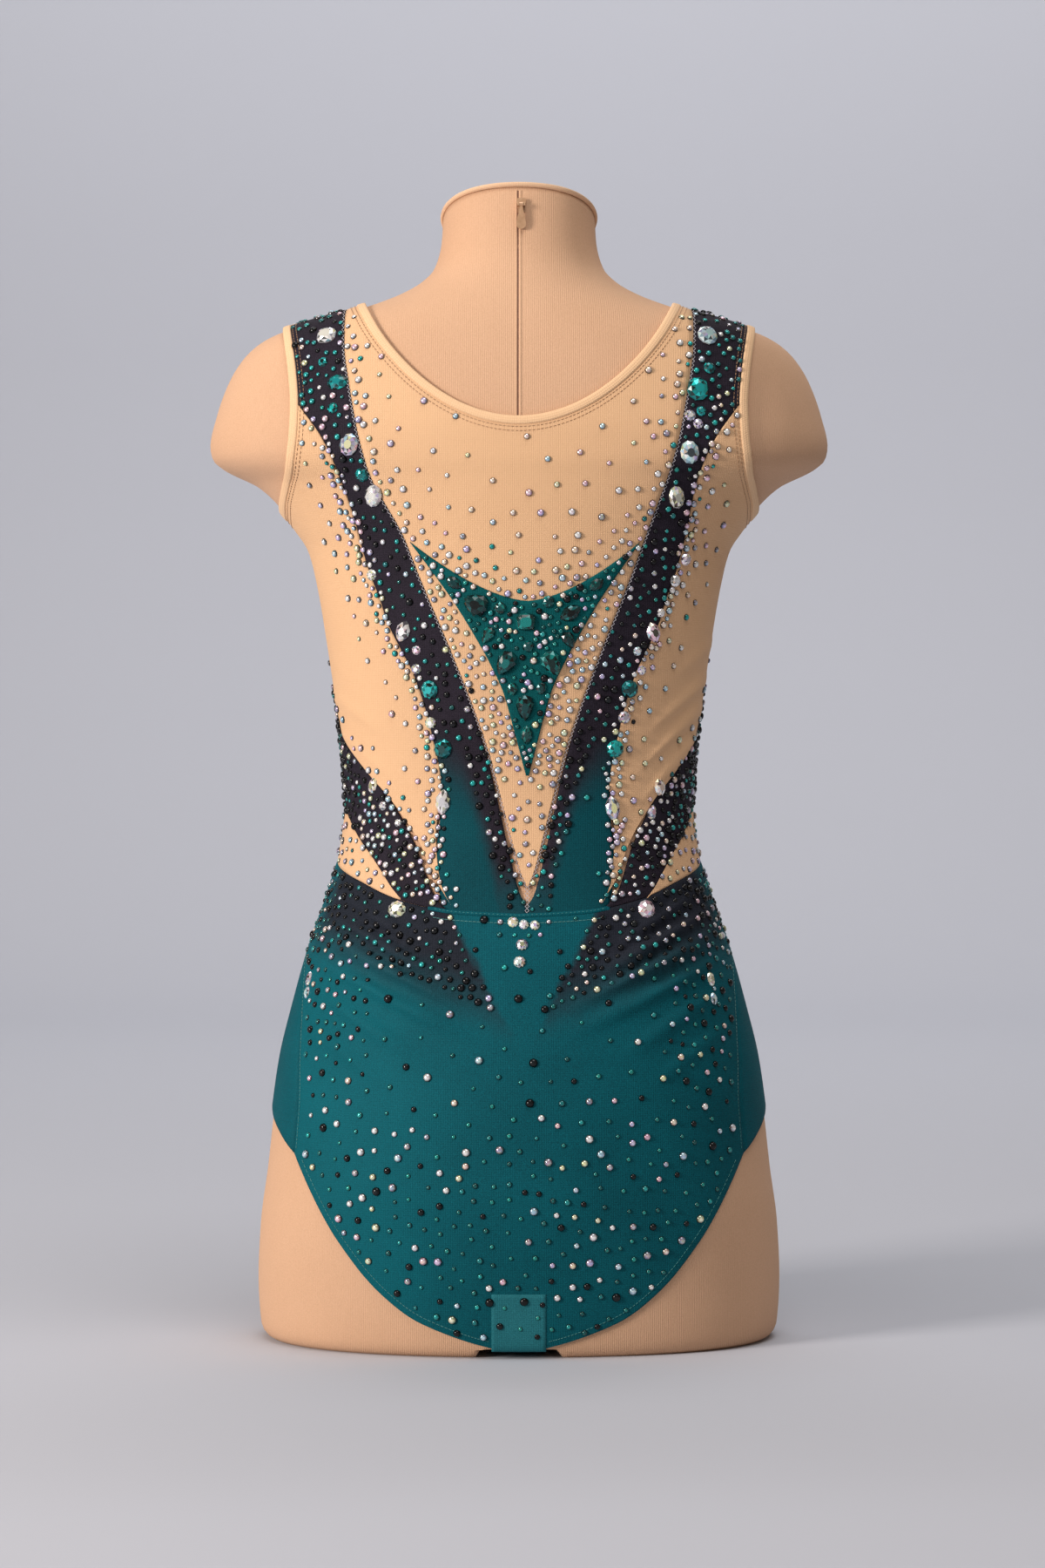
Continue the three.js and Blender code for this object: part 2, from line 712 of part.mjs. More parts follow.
// Panels lap under the bindings as they are made, and are trimmed to them here
function trimmed(panel) {
  return [formTrim, neckTrim, ...armholeTrims].reduce((solid, cutter) => solid.subtract(cutter), panel);
}

// Back panels
const innerEdge = curveThrough(bandInner, 'z', 'x');
const outerTable = curveThrough(bandOuter, 'z', 'x');
const outerEdge = (z) => Math.min(outerTable(z), armholeWidth(z) - panelMargin);
const seamHeight = curveThrough(waistSeam, 'turn', 'z');
const upperWedge = curveThrough(wedgeUpper, 'turn', 'z');
const lowerWedge = curveThrough(wedgeLower, 'turn', 'z');
const half = seam / 2;
const waistGap = 0.55; // above the waist seam's line, where facets of both sides bend
const backSideTurn = bodiceSideTurn - sideGapTurn;
const frontSideTurn = bodiceSideTurn + sideGapTurn;

// A back panel's place from its side, its turn in degrees before the lean, and its height
function leaned(side, turnDegrees, z) {
  return turnAt(side * formHalfWidth(z) * Math.sin(radians(Math.min(turnDegrees, 90))), z)
    + side * radians(Math.max(turnDegrees - 90, 0));
}

const seamAt = (turn) => seamHeight(degrees(Math.abs(turn)));

// The rows of the bands, which the panels beside them share
const bandRows = 26;
const bandTop = {
  inner: shoulderHeight(innerEdge(665)),
  outer: crossing(640, 670, (z) => formHalfWidth(z) < outerEdge(z)),
};
const bandFoot = { inner: seamHeight(0) + waistGap, outer: seamHeight(21) + waistGap };
const bandInnerHeight = (row) => lerp(bandTop.inner, bandFoot.inner, fromShoulder(row / bandRows));
const bandOuterHeight = (row) => lerp(bandTop.outer, bandFoot.outer, fromShoulder(row / bandRows));

function band(side) {
  return wallSolid({
    columns: 3,
    rows: bandRows,
    at: (u, v) => {
      const row = Math.round(v * bandRows);
      const inner = bandInnerHeight(row);
      const outer = bandOuterHeight(row);
      const level = lerp(inner, outer, u);
      const x = lerp(innerEdge(inner) + half, outerEdge(outer) - half, u);
      const turn = turnAt(side * Math.min(x, formHalfWidth(level)), level);
      const z = Math.max(level, seamAt(turn) + waistGap);
      return onCloth(turnAt(side * Math.min(x, formHalfWidth(z)), z), z);
    },
  });
}

function backYoke() {
  const rows = bandRows - 1;
  const columns = 14;
  const edge = neckline.halfWidth + panelMargin;
  const neckShare = 0.94; // the rest of the top edge is the shoulder seam
  const topPlace = (share) => {
    if (share < neckShare) return neckPlace(panelMargin, ((share / neckShare) * Math.PI) / 2);
    const x = lerp(edge, innerEdge(665) - half, (share - neckShare) / (1 - neckShare));
    return { turn: Math.PI / 2, z: shoulderHeight(x) };
  };
  const shares = evenShares(topPlace, columns / 2);
  shares[columns / 2 - 1] = neckShare;
  const edgeX = (z) => innerEdge(z) - half;
  return wallSolid({
    columns,
    rows,
    at: (u, v) => {
      const column = Math.round(u * columns) - columns / 2;
      const { turn: topTurn, z: top } = topPlace(shares[Math.abs(column)]);
      const row = Math.round(v * rows);
      const across = Math.abs(column) / (columns / 2);
      const edgeZ = row === rows ? yokeTip.z : bandInnerHeight(row);
      const fallen = (bandTop.inner - edgeZ) / (bandTop.inner - yokeTip.z);
      const z = lerp(lerp(top, yokeTip.z, v), lerp(top, yokeTip.z, fallen), across ** 2);
      const width = row === rows ? yokeTip.halfWidth : edgeX(z);
      const topShare = Math.min((formHalfWidth(top) * Math.sin(topTurn)) / edgeX(top), 1);
      const x = Math.min(lerp(topShare, across, v) * width, formHalfWidth(z));
      return onCloth(turnAt(Math.sign(column) * x, z), z);
    },
  });
}

const kiteEdge = curveThrough(kiteSide, 'z', 'x');

function backKite() {
  return wallSolid({
    columns: 8,
    rows: 9,
    at: (u, v) => {
      const across = 2 * u - 1;
      const top = kiteTop.z + kiteTop.rise * Math.abs(across) ** kiteTop.power;
      const z = lerp(top, kiteSide[0].z, v);
      const topShare = (across * kiteTop.halfWidth) / kiteEdge(top);
      const x = lerp(clamp(topShare, -1, 1), across, v) * (kiteEdge(z) - half);
      return onCloth(turnAt(x, z), z, wall + appliqueGap);
    },
  });
}

// The side mesh follows the band on one side and armhole, side seam and wedge on the other
const wedgeRows = 14;
const wedgeTurn = (row) => lerp(backSideTurn, wedgeFootTurn, row / wedgeRows);
const meetHeight = crossing(580, 620, (z) => outerTable(z) > armholeWidth(z) - panelMargin);

function sideMesh(side) {
  const { foot } = armholeEnds(panelMargin);
  const firstRow = Array.from({ length: bandRows }, (_, row) => row)
    .find((row) => bandOuterHeight(row) < meetHeight - 3);
  const lastRow = Array.from({ length: bandRows }, (_, row) => row)
    .filter((row) => bandOuterHeight(row) > sideMeshFoot + 4).pop();
  const inner = [meetHeight - 0.8];
  for (let row = firstRow; row <= lastRow; row += 1) inner.push(bandOuterHeight(row));
  inner.push(sideMeshFoot);
  const rows = inner.length - 1;
  const shared = wedgeRows - 1; // rows along the wedge
  const armRows = Math.round((rows - shared) * 0.55);
  const sideRows = rows - shared - armRows;
  const outerPlace = (row) => {
    if (row <= armRows) {
      const along = row / armRows;
      const z = lerp(meetHeight - 0.8, foot, 1 - (1 - along) ** 1.8);
      return { turn: turnAt(side * Math.min(armholeWidth(z) - panelMargin, formHalfWidth(z)), z), z };
    }
    if (row <= armRows + sideRows) {
      const along = (row - armRows) / sideRows;
      const turn = lerp(90, backSideTurn, smoothstep(along, 0, 0.4));
      return { turn: side * radians(turn), z: lerp(foot, upperWedge(backSideTurn) + half, along) };
    }
    const turn = wedgeTurn(row - armRows - sideRows);
    const z = upperWedge(turn) + half;
    return { turn: leaned(side, turn, z), z };
  };
  return wallSolid({
    columns: 6,
    rows,
    at: (u, v) => {
      const row = Math.round(v * rows);
      const innerTurn = turnAt(side * (outerEdge(inner[row]) + half), inner[row]);
      const outer = outerPlace(row);
      return onCloth(lerp(innerTurn, outer.turn, u), lerp(inner[row], outer.z, u));
    },
  });
}

function sideWedge(side) {
  const footTurn = 38.6; // where its lower edge meets the waist seam
  return wallSolid({
    columns: 3,
    rows: wedgeRows,
    at: (u, v) => {
      const upperTurn = wedgeTurn(Math.round(v * wedgeRows));
      const lowerTurn = lerp(backSideTurn, footTurn, v);
      const turn = lerp(upperTurn, lowerTurn, u);
      const level = lerp(upperWedge(upperTurn) - half, lowerWedge(lowerTurn) + half, u);
      const z = Math.max(level, seamAt(leaned(side, turn, level)) + waistGap);
      return onCloth(leaned(side, turn, z), z);
    },
  });
}

function waistMesh(side) {
  return wallSolid({
    columns: 3,
    rows: 6,
    at: (u, v) => {
      const turn = lerp(backSideTurn, waistMeshTip, v);
      const upper = lowerWedge(turn) - half;
      const z = lerp(upper, seamAt(leaned(side, turn, upper)) + waistGap, u);
      return onCloth(leaned(side, turn, z), z);
    },
  });
}

// How far the hip folds lift the cloth at a place
function foldHeight(x, z) {
  const share = x < 0 ? leftFoldShare : 1;
  const place = new THREE.Vector2(Math.abs(x), z);
  return hipFolds.reduce((sum, fold) => {
    const start = new THREE.Vector2(fold.fromX, fold.fromZ);
    const run = new THREE.Vector2(fold.toX, fold.toZ).sub(start);
    const along = place.clone().sub(start).dot(run) / run.lengthSq();
    const away = place.clone().sub(start).addScaledVector(run, -along).length();
    const fade = smoothstep(along, -0.15, 0.25) * (1 - smoothstep(along, 0.6, 1.1));
    return sum + share * fold.height * fade * Math.exp(-((away / fold.width) ** 2));
  }, 0);
}

const hemEdge = curveThrough(briefHem, 'z', 'x');
const sideSeamTurn = curveThrough(briefSideSeam, 'z', 'turn');
const sideRowCount = 13; // rows beside the side seams, shared by the brief's front and back
const hemTop = briefHem[briefHem.length - 1].z;
const sideHeight = (row) => lerp(seamHeight(bodiceSideTurn) - half, hemTop, row / sideRowCount);

function briefBack() {
  const hemRows = 9;
  const rows = sideRowCount + hemRows;
  const hemBunch = 1.7; // rows lie closer where the hem runs flat
  return wallSolid({
    columns: 18,
    rows,
    at: (u, v) => {
      const row = Math.round(v * rows);
      const across = 2 * u - 1;
      const hemShare = Math.max(row - sideRowCount, 0) / hemRows;
      const low = row > sideRowCount
        ? lerp(hemTop, briefHem[0].z, 1 - (1 - hemShare) ** hemBunch)
        : sideHeight(row);
      const edge = row > sideRowCount
        ? Math.asin(hemEdge(low) / formHalfWidth(low))
        : radians(sideSeamTurn(low) - sideGapTurn);
      const turn = edge * across;
      const fall = Math.max(1 - row / sideRowCount, 0) ** 2;
      const z = low - (seamHeight(bodiceSideTurn) - seamHeight(bodiceSideTurn * Math.abs(across))) * fall;
      return onCloth(turn, z, foldHeight(formHalfWidth(z) * Math.sin(turn), z));
    },
  });
}

// Front panels
const hemTurn = curveThrough(frontHem, 'share', 'turn');
const hemHeight = curveThrough(frontHem, 'share', 'z');
const chestHeight = curveThrough(chestSeam, 'turn', 'z');

function briefFront() {
  return wallSolid({
    columns: 24,
    rows: sideRowCount,
    at: (u, v) => {
      const across = 2 * u - 1;
      const share = (1 - Math.abs(across)) ** 1.2; // closer columns where the sides turn
      const row = Math.round(v * sideRowCount);
      const rowTurn = sideSeamTurn(sideHeight(row)) + sideGapTurn;
      const even = lerp(rowTurn, 180, share);
      const turn = even + (hemTurn(share) - lerp(hemTurn(0), 180, share)) * v;
      const top = seamHeight(lerp(bodiceSideTurn, 180, share)) - half;
      const z = lerp(top, hemHeight(share), v);
      const lift = turn > 90 ? 0.6 * foldHeight(formHalfWidth(z) * Math.sin(radians(turn)), z) : 0;
      return onCloth((across < 0 ? -1 : 1) * radians(turn), z, lift);
    },
  });
}

const frontArmTurn = (z) => degrees(turnAt(armholeWidth(z) - panelMargin, z, true));
const chestCorner = crossing(545, 590, (z) => chestHeight(frontArmTurn(z)) < z);
const chestColumns = 8; // on each side of the centre line, shared by yoke and body

// The chest seam's place at one of those columns
function chestPlace(column) {
  const x = (column / chestColumns) * (armholeWidth(chestCorner) - panelMargin);
  const z = chestHeight(degrees(turnAt(x, chestCorner, true)));
  return { x, z, turn: turnAt(x, z, true) };
}

function frontBody() {
  const { foot } = armholeEnds(panelMargin);
  const armColumns = 3;
  const sideColumns = armColumns + chestColumns;
  const armHeight = (turn) => crossing(foot, chestCorner, (z) => frontArmTurn(z) > turn);
  const topPlace = (column) => {
    if (column <= chestColumns) {
      const { turn, z } = chestPlace(column);
      return { turn: degrees(turn), z: z - half };
    }
    const corner = frontArmTurn(chestCorner);
    const turn = lerp(corner, frontSideTurn, (column - chestColumns) / armColumns);
    return { turn, z: armHeight(turn) };
  };
  return wallSolid({
    columns: 2 * sideColumns,
    rows: 9,
    at: (u, v) => {
      const column = Math.round(u * 2 * sideColumns) - sideColumns;
      const top = topPlace(Math.abs(column));
      const even = lerp(180, frontSideTurn, Math.abs(column) / sideColumns);
      const turn = lerp(top.turn, even, smoothstep(v, 0, 0.6));
      return onCloth(Math.sign(column || 1) * radians(turn), lerp(top.z, seamHeight(turn) + half, v));
    },
  });
}

function frontYoke() {
  const rows = 7;
  const neckColumns = 5; // the columns outside these start at the shoulder seam
  const edgeX = (z) => armholeWidth(z) - panelMargin;
  const neckEdge = neckline.halfWidth + panelMargin;
  const shoulderEdge = edgeX(armholeEnds(panelMargin).top);
  const neckPath = (share) => neckPlace(panelMargin, Math.PI - (share * Math.PI) / 2);
  const neckShares = evenShares(neckPath, neckColumns);
  const topPlace = (column) => {
    if (column <= neckColumns) return neckPlace(panelMargin, Math.PI - (neckShares[column] * Math.PI) / 2);
    const x = lerp(neckEdge, shoulderEdge, (column - neckColumns) / (chestColumns - neckColumns));
    return { turn: Math.PI / 2, z: shoulderHeight(x) };
  };
  return wallSolid({
    columns: 2 * chestColumns,
    rows,
    at: (u, v) => {
      const column = Math.round(u * 2 * chestColumns) - chestColumns;
      const { turn: topTurn, z: top } = topPlace(Math.abs(column));
      const chest = chestPlace(Math.abs(column));
      const foot = chest.z + half;
      const fall = lerp(v, v * v, Math.min(Math.abs(column) / neckColumns, 1));
      const z = lerp(top, foot, fall);
      const topShare = Math.min((formHalfWidth(top) * Math.sin(topTurn)) / edgeX(top), 1);
      const x = lerp(topShare, chest.x / edgeX(foot), v) * edgeX(z);
      const turn = Math.max(turnAt(Math.min(x, formHalfWidth(z)), z, true), radians(90 + sideGapTurn));
      return onCloth(Math.sign(column || 1) * turn, z);
    },
  });
}

// The gusset runs down over the brief's foot, under the crotch and up the front
function gusset() {
  const { halfWidth, backTop, frontTop, wall: thick, fold } = gussetCut;
  const outside = clearance + wall + appliqueGap;
  const backRun = backTop - fold;
  const frontRun = frontTop - fold;
  const under = formBack(fold) + formFront(fold);
  const whole = backRun + under + frontRun;
  const marks = [0, 0.34, 0.67, 0.9].map((share) => share * backRun);
  marks.push(backRun);
  for (let i = 1; i <= 7; i += 1) marks.push(backRun + (under * i) / 7);
  for (const share of [0.1, 0.4, 0.7, 1]) marks.push(backRun + under + share * frontRun);
  const down = new THREE.Vector3(0, 0, -1);
  return wallSolid({
    columns: 4,
    rows: marks.length - 1,
    thick,
    at: (u, v) => {
      const run = marks[Math.round(v * (marks.length - 1))];
      const x = (2 * u - 1) * halfWidth;
      const ceiling = new THREE.Vector3(x, 0, thighGap.height - 1.6);
      if (run < backRun - 0.01) {
        const z = backTop - run;
        return onCloth(turnAt(x, z), z, wall + appliqueGap);
      }
      if (run > backRun + under + 0.01) {
        const z = fold + (run - backRun - under);
        return onCloth(turnAt(x, z, true), z, wall + appliqueGap);
      }
      const along = (run - backRun) / under;
      const backY = formPoint(turnAt(x, fold), fold).y - outside;
      const frontY = formPoint(turnAt(x, fold, true), fold).y + outside;
      ceiling.y = lerp(backY, frontY, along);
      const normal = down.clone();
      if (along < 0.01) normal.y -= 1;
      if (along > 0.99) normal.y += 1;
      return { point: ceiling, normal };
    },
  });
}

// A large stone, sunk a little into the outer face that carries it
function stoneSolid({ x, z, wide, tall }, outerFace) {
  const deep = Math.min(wide, tall) * stone.heightShare;
  const gem = new THREE.CylinderGeometry(stone.tableShare / 2, 0.5, deep + stone.sunk, stone.sides);
  gem.scale(wide, 1, tall);
  gem.translate(0, (deep + stone.sunk) / 2 - stone.sunk, 0);
  const turn = turnAt(x, z);
  const normal = formNormal(turn, z);
  const place = formPoint(turn, z).addScaledVector(normal, outerFace);
  gem.applyQuaternion(new THREE.Quaternion().setFromUnitVectors(new THREE.Vector3(0, 1, 0), normal));
  gem.translate(...place.toArray());
  return toSolid(indexed(gem));
}

function withStones(panel, stones, outerFace = clearance + wall) {
  return stones.reduce((solid, row) => solid.add(stoneSolid(row, outerFace)), panel);
}

const mirrored = (stones, side) => stones.map((row) => ({ ...row, x: side * row.x }));
const bothSides = (stones) => [...mirrored(stones, -1), ...mirrored(stones, 1)];

const kiteFace = clearance + 2 * wall + appliqueGap;
garment.add(named('neck_binding', 'nudeBinding', bindingLoop(neckLoop).subtract(formTrim)));
garment.add(named('back_yoke', 'nudeMesh', trimmed(backYoke())));
garment.add(named('back_kite', 'tealApplique',
  withStones(backKite(), [...bothSides(kiteStones), ...kiteMiddleStones], kiteFace)));
for (const [label, side] of [['left', -1], ['right', 1]]) {
  const armholeBinding = bindingLoop({ ...armholeLoop, side }).subtract(formTrim);
  garment.add(
    named(`armhole_binding_${label}`, 'nudeBinding', armholeBinding),
    named(`band_${label}`, 'blackKnit', withStones(trimmed(band(side)), mirrored(bandStones, side))),
    named(
      `side_mesh_${label}`,
      'nudeMesh',
      withStones(trimmed(sideMesh(side)), mirrored(sideMeshStones, side)),
    ),
    named(
      `side_wedge_${label}`,
      'blackKnit',
      withStones(trimmed(sideWedge(side)), mirrored(wedgeStones, side)),
    ),
    named(`waist_mesh_${label}`, 'nudeMesh', trimmed(waistMesh(side))),
  );
}
garment.add(named('brief_back', 'tealKnit', withStones(trimmed(briefBack()), bothSides(briefStones))));
garment.add(named('brief_front', 'tealKnit', trimmed(briefFront())));
garment.add(named('gusset', 'tealGusset', gusset()));
garment.add(named('front_body', 'blackKnit', trimmed(frontBody())));
garment.add(named('front_yoke', 'nudeMesh', trimmed(frontYoke())));

// The origin goes to the middle of the whole part's footprint
const middle = new THREE.Box3().setFromObject(object).getCenter(new THREE.Vector3());
object.position.set(-middle.x, -middle.y, 0);

export default object;
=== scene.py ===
# Back view of a rhythmic gymnastics leotard on a limbless dress form
# Lengths are in millimetres until a mesh is written, and the back of the garment faces -Y
import math

import bmesh
import bpy
import numpy as np
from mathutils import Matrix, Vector


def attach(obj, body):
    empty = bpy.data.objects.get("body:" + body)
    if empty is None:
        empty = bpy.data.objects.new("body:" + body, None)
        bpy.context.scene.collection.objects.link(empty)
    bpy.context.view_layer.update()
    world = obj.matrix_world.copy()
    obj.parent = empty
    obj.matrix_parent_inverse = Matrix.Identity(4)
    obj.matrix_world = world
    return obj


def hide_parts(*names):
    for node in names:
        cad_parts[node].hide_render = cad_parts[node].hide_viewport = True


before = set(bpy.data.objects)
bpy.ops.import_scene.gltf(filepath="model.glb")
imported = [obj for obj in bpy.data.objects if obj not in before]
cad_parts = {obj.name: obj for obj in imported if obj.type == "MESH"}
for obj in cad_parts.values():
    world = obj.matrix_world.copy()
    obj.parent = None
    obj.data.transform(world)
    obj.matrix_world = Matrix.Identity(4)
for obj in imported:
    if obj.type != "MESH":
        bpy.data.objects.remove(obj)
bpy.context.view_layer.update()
print("frame loaded:", len(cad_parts), "nodes")

mm = 0.001
shiftY = 3.02  # the frame's origin is the middle of the footprint
clothGap = 0.9  # between the form and the cloth
clothThick = 1.0
bindingWidth = 5.5
lap = 2.5  # panels run this far under a binding
half = 0.1  # half the gap at a seam
seamTurn = 0.06  # the same in degrees, at the side seams
seamGap = 0.2  # between the waist seam and the panels above it
overlayGap = 0.35  # between a panel and what is laid on it
strapTop = 665  # where the bands and the yoke meet the shoulder seam
shoulderLift = {"by": 0.5, "low": 515, "high": 560}
neckTop = 728
bodyName = "form_and_leotard"


# Blends and curves

def lerp(a, b, t):
    return a + (b - a) * t


def smooth(x, low, high):
    t = np.clip((x - low) / (high - low), 0, 1)
    return t * t * (3 - 2 * t)


def curveThrough(rows):
    # A smooth curve through rows of (where, value) that never swings past them
    at = np.array([row[0] for row in rows], float)
    val = np.array([row[1] for row in rows], float)
    steps = np.diff(at)
    slopes = np.diff(val) / steps
    tangents = np.zeros(len(at))
    tangents[0] = slopes[0]
    tangents[-1] = slopes[-1]
    for i in range(1, len(slopes)):
        if slopes[i - 1] * slopes[i] > 0:
            before = 2 * steps[i] + steps[i - 1]
            after = steps[i] + 2 * steps[i - 1]
            tangents[i] = (before + after) / (before / slopes[i - 1] + after / slopes[i])

    def curve(where):
        t = np.clip(where, at[0], at[-1])
        i = np.clip(np.searchsorted(at, t, side="right") - 1, 0, len(steps) - 1)
        s = (t - at[i]) / steps[i]
        rise = s * s * (3 - 2 * s)
        leave = s * (1 - s) ** 2 * steps[i]
        arrive = s * s * (s - 1) * steps[i]
        return val[i] + rise * (val[i + 1] - val[i]) + leave * tangents[i] + arrive * tangents[i + 1]

    return curve


# Dress form sections: height, half width, depth behind and in front
formSections = [
    (0, 161, 94, 74), (3, 165.5, 98.5, 78.5), (10, 168.5, 101.5, 81), (40, 170.2, 107, 84),
    (75, 168.6, 112.5, 86), (110, 164, 116, 88.5), (150, 159.5, 114.5, 92), (183, 154.6, 109.5, 94.5),
    (217, 146.3, 101.5, 94), (252, 136.5, 92, 91), (286, 124.6, 82, 87), (320, 115, 74.5, 84),
    (345, 112.2, 72, 83.5), (371, 113.4, 73, 86), (405, 117, 77, 93), (457, 124.5, 84, 105),
    (491, 130.4, 88, 110), (513, 136.2, 90, 108), (526, 144.5, 91, 106.5), (540, 155.5, 92, 104.5),
    (554, 170.5, 93, 102), (566, 194, 94, 99.5), (572, 200.3, 94, 98), (580, 201.8, 94, 96),
    (600, 197.5, 92, 91), (622, 189.5, 88, 83.5), (636, 181, 84.5, 78), (645, 172, 82, 74.5),
    (651, 162, 80, 72.5), (656, 148, 78, 70.5), (663, 124, 75, 67.5), (670, 100, 71, 64),
    (678, 79, 66, 61), (686, 65, 61, 58), (696, 55.5, 55.5, 55), (714, 50.5, 49.5, 52),
    (745, 49, 44, 49),
]
fullness = 0.12  # how much squarer than an ellipse a section is
neckTilt = 0.31
halfWidth = curveThrough([(z, w) for z, w, back, front in formSections])
backDepth = curveThrough([(z, back) for z, w, back, front in formSections])
frontDepth = curveThrough([(z, front) for z, w, back, front in formSections])

# Cut lines of the back: height and distance from the centre line
innerEdge = curveThrough([
    (240, 0), (292, 0), (303, 4), (324, 9.7), (351, 16.5), (380, 24), (407, 33), (446, 48), (490, 66),
    (520, 77.5), (538, 86), (551, 92), (562, 96), (580, 101), (601, 105), (619, 108), (634, 110), (680, 111),
])
outerTable = curveThrough([
    (270, 43), (281.7, 46.3), (291.6, 52.5), (327, 56), (360, 53), (399, 60), (431, 70), (446, 77.5),
    (464, 86), (477, 90), (493, 96), (506, 100), (520, 103.5), (541, 108.5), (562, 115.5), (579, 124),
    (594, 134.5), (600, 139), (612, 150), (680, 170),
])
armholeWidth = curveThrough([
    (500, 158), (540, 154.5), (550, 151.5), (565, 147.5), (585, 145), (600, 144.5), (620, 146),
    (640, 149), (656, 152.5), (680, 156),
])
kiteEdge = curveThrough([
    (365.5, 1), (404, 11), (418, 15), (437, 23.6), (457, 34.6), (476, 46), (492, 57), (513, 72),
])
hemEdge = curveThrough([
    (7, 15), (11, 30.5), (17, 48), (25, 66), (38, 83.5), (50, 95.7), (64, 107), (79, 117.7),
    (111, 135.4), (125, 142),
])
# Cut lines round the sides: turn in degrees and height
upperWedge = curveThrough([
    (21.6, 281.7), (25.2, 291.6), (28.6, 300), (31.8, 311), (36, 324.5), (42.5, 339), (49, 352),
    (57, 364), (65, 375), (77, 391), (84, 408), (92, 428),
])
lowerWedge = curveThrough([
    (38, 286.2), (42, 293), (48, 303.6), (54.6, 313.5), (64, 325), (75, 337), (84, 345), (92, 352),
])
seamHeight = curveThrough([
    (0, 276.5), (20, 279), (29.5, 282.5), (39, 287), (56, 297), (75, 305), (92, 311), (135, 316), (180, 311),
])
chestHeight = curveThrough([(92, 569), (131, 566), (150, 557), (180, 550)])
# Side seam of the brief: height and turn
sideSeamTurn = curveThrough([(125, 61), (152, 61.5), (190, 65.5), (220, 72), (238, 78), (256, 89), (320, 92)])
# Bottom edge of the brief's front: share from the side seam to the centre, turn and height
frontHem = [
    (0, 61, 125), (0.08, 75, 141), (0.16, 90, 152), (0.26, 105, 151), (0.36, 123, 146), (0.48, 138, 134),
    (0.6, 150.5, 113), (0.7, 159, 88), (0.79, 165.3, 60), (0.87, 169.8, 34), (0.94, 173.5, 14), (1, 180, 8),
]
hemTurn = curveThrough([(share, turn) for share, turn, z in frontHem])
hemHeight = curveThrough([(share, z) for share, turn, z in frontHem])

sideTurn = 92
neckline = {"halfWidth": 99, "backLow": 591, "frontLow": 566, "power": 1.6}
yokeTip = {"z": 294, "halfWidth": 0.5}
kiteTop = {"z": 475.5, "rise": 37.5, "halfWidth": 72, "power": 1.6}
kiteFoot = 365.5
sideMeshFoot = 293
wedgeFootTurn = 21.8
waistMeshTip = 38.6
hemTop = 125
lean = {"shift": 5.3, "low": 240, "lowFull": 285, "highFull": 510, "high": 560}


def bodyPoint(turn, z):
    turn = np.asarray(turn, float)
    z = np.asarray(z, float)
    across = np.sin(turn)
    along = np.cos(turn)
    deep = np.where(along > 0, backDepth(z), frontDepth(z))
    y = -deep * along * (1 + fullness * across * across)
    tilt = neckTilt * smooth(z, 700, neckTop)
    return np.stack(np.broadcast_arrays(halfWidth(z) * across, y, z - tilt * y), axis=-1)


def bodyNormal(turn, z):
    low = np.maximum(np.asarray(z, float) - 0.05, 0)
    around = bodyPoint(np.asarray(turn) + 0.002, z) - bodyPoint(np.asarray(turn) - 0.002, z)
    up = bodyPoint(turn, low + 0.1) - bodyPoint(turn, low)
    normal = np.cross(around, up)
    return normal / np.maximum(np.linalg.norm(normal, axis=-1, keepdims=True), 1e-9)


def leanAt(z):
    risen = smooth(z, lean["low"], lean["lowFull"])
    return lean["shift"] * risen * (1 - smooth(z, lean["highFull"], lean["high"]))


def turnAt(x, z, front=False):
    share = np.clip(x / halfWidth(z), -1, 1)
    if front:
        return math.pi - np.arcsin(share)
    shift = leanAt(z) * (1 - share * share) / halfWidth(z)
    return np.arcsin(np.clip(share + shift, -1, 1))


ridgeZ = np.linspace(590, neckTop, 1500)
ridgeX = halfWidth(ridgeZ)


def shoulderHeight(x):
    return np.interp(-np.abs(x), -ridgeX, ridgeZ)


def crossing(low, high, reached):
    for _ in range(40):
        middle = (low + high) / 2
        if reached(middle):
            high = middle
        else:
            low = middle
    return (low + high) / 2


def fromShoulder(v, fine=0.16):
    # Packs the first rows of a panel closer, where the shoulder bends most
    return np.where(v < fine, v * v / (fine * (2 - fine)), (2 * v - fine) / (2 - fine))


# Distance round the body from the centre back, which the knit's ribs count along
arcTurns = np.linspace(0, math.pi, 181)
arcHeights = np.linspace(0, neckTop, 183)
arcGrid = bodyPoint(arcTurns[None, :], arcHeights[:, None])
arcTable = np.concatenate([
    np.zeros((len(arcHeights), 1)),
    np.cumsum(np.linalg.norm(np.diff(arcGrid[..., :2], axis=1), axis=-1), axis=1),
], axis=1)


def arcAt(turn, z):
    t = np.clip(np.abs(turn) / math.pi, 0, 1) * (len(arcTurns) - 1)
    h = np.clip(np.asarray(z, float) / neckTop, 0, 1) * (len(arcHeights) - 1)
    i = np.minimum(t.astype(int), len(arcTurns) - 2)
    j = np.minimum(h.astype(int), len(arcHeights) - 2)
    a = lerp(arcTable[j, i], arcTable[j, i + 1], t - i)
    b = lerp(arcTable[j + 1, i], arcTable[j + 1, i + 1], t - i)
    return np.sign(turn) * lerp(a, b, h - j)


# Drag folds: start, end, width and height of each soft ridge, on the right hip
hipFolds = [
    (114, 291, 60, 256, 3.4, 2.2),
    (119, 277, 48, 238, 3.8, 3.6),
    (121, 262, 36, 221, 4.2, 3.8),
    (124, 246, 34, 204, 4.6, 2.8),
    (127, 228, 66, 190, 4.6, 1.8),
    (132, 206, 84, 172, 4.4, 1.3),
    (96, 272, 72, 261, 2.8, -0.9),
    (98, 256, 62, 238, 2.8, -0.9),
    (100, 240, 60, 218, 3.2, -0.9),
]
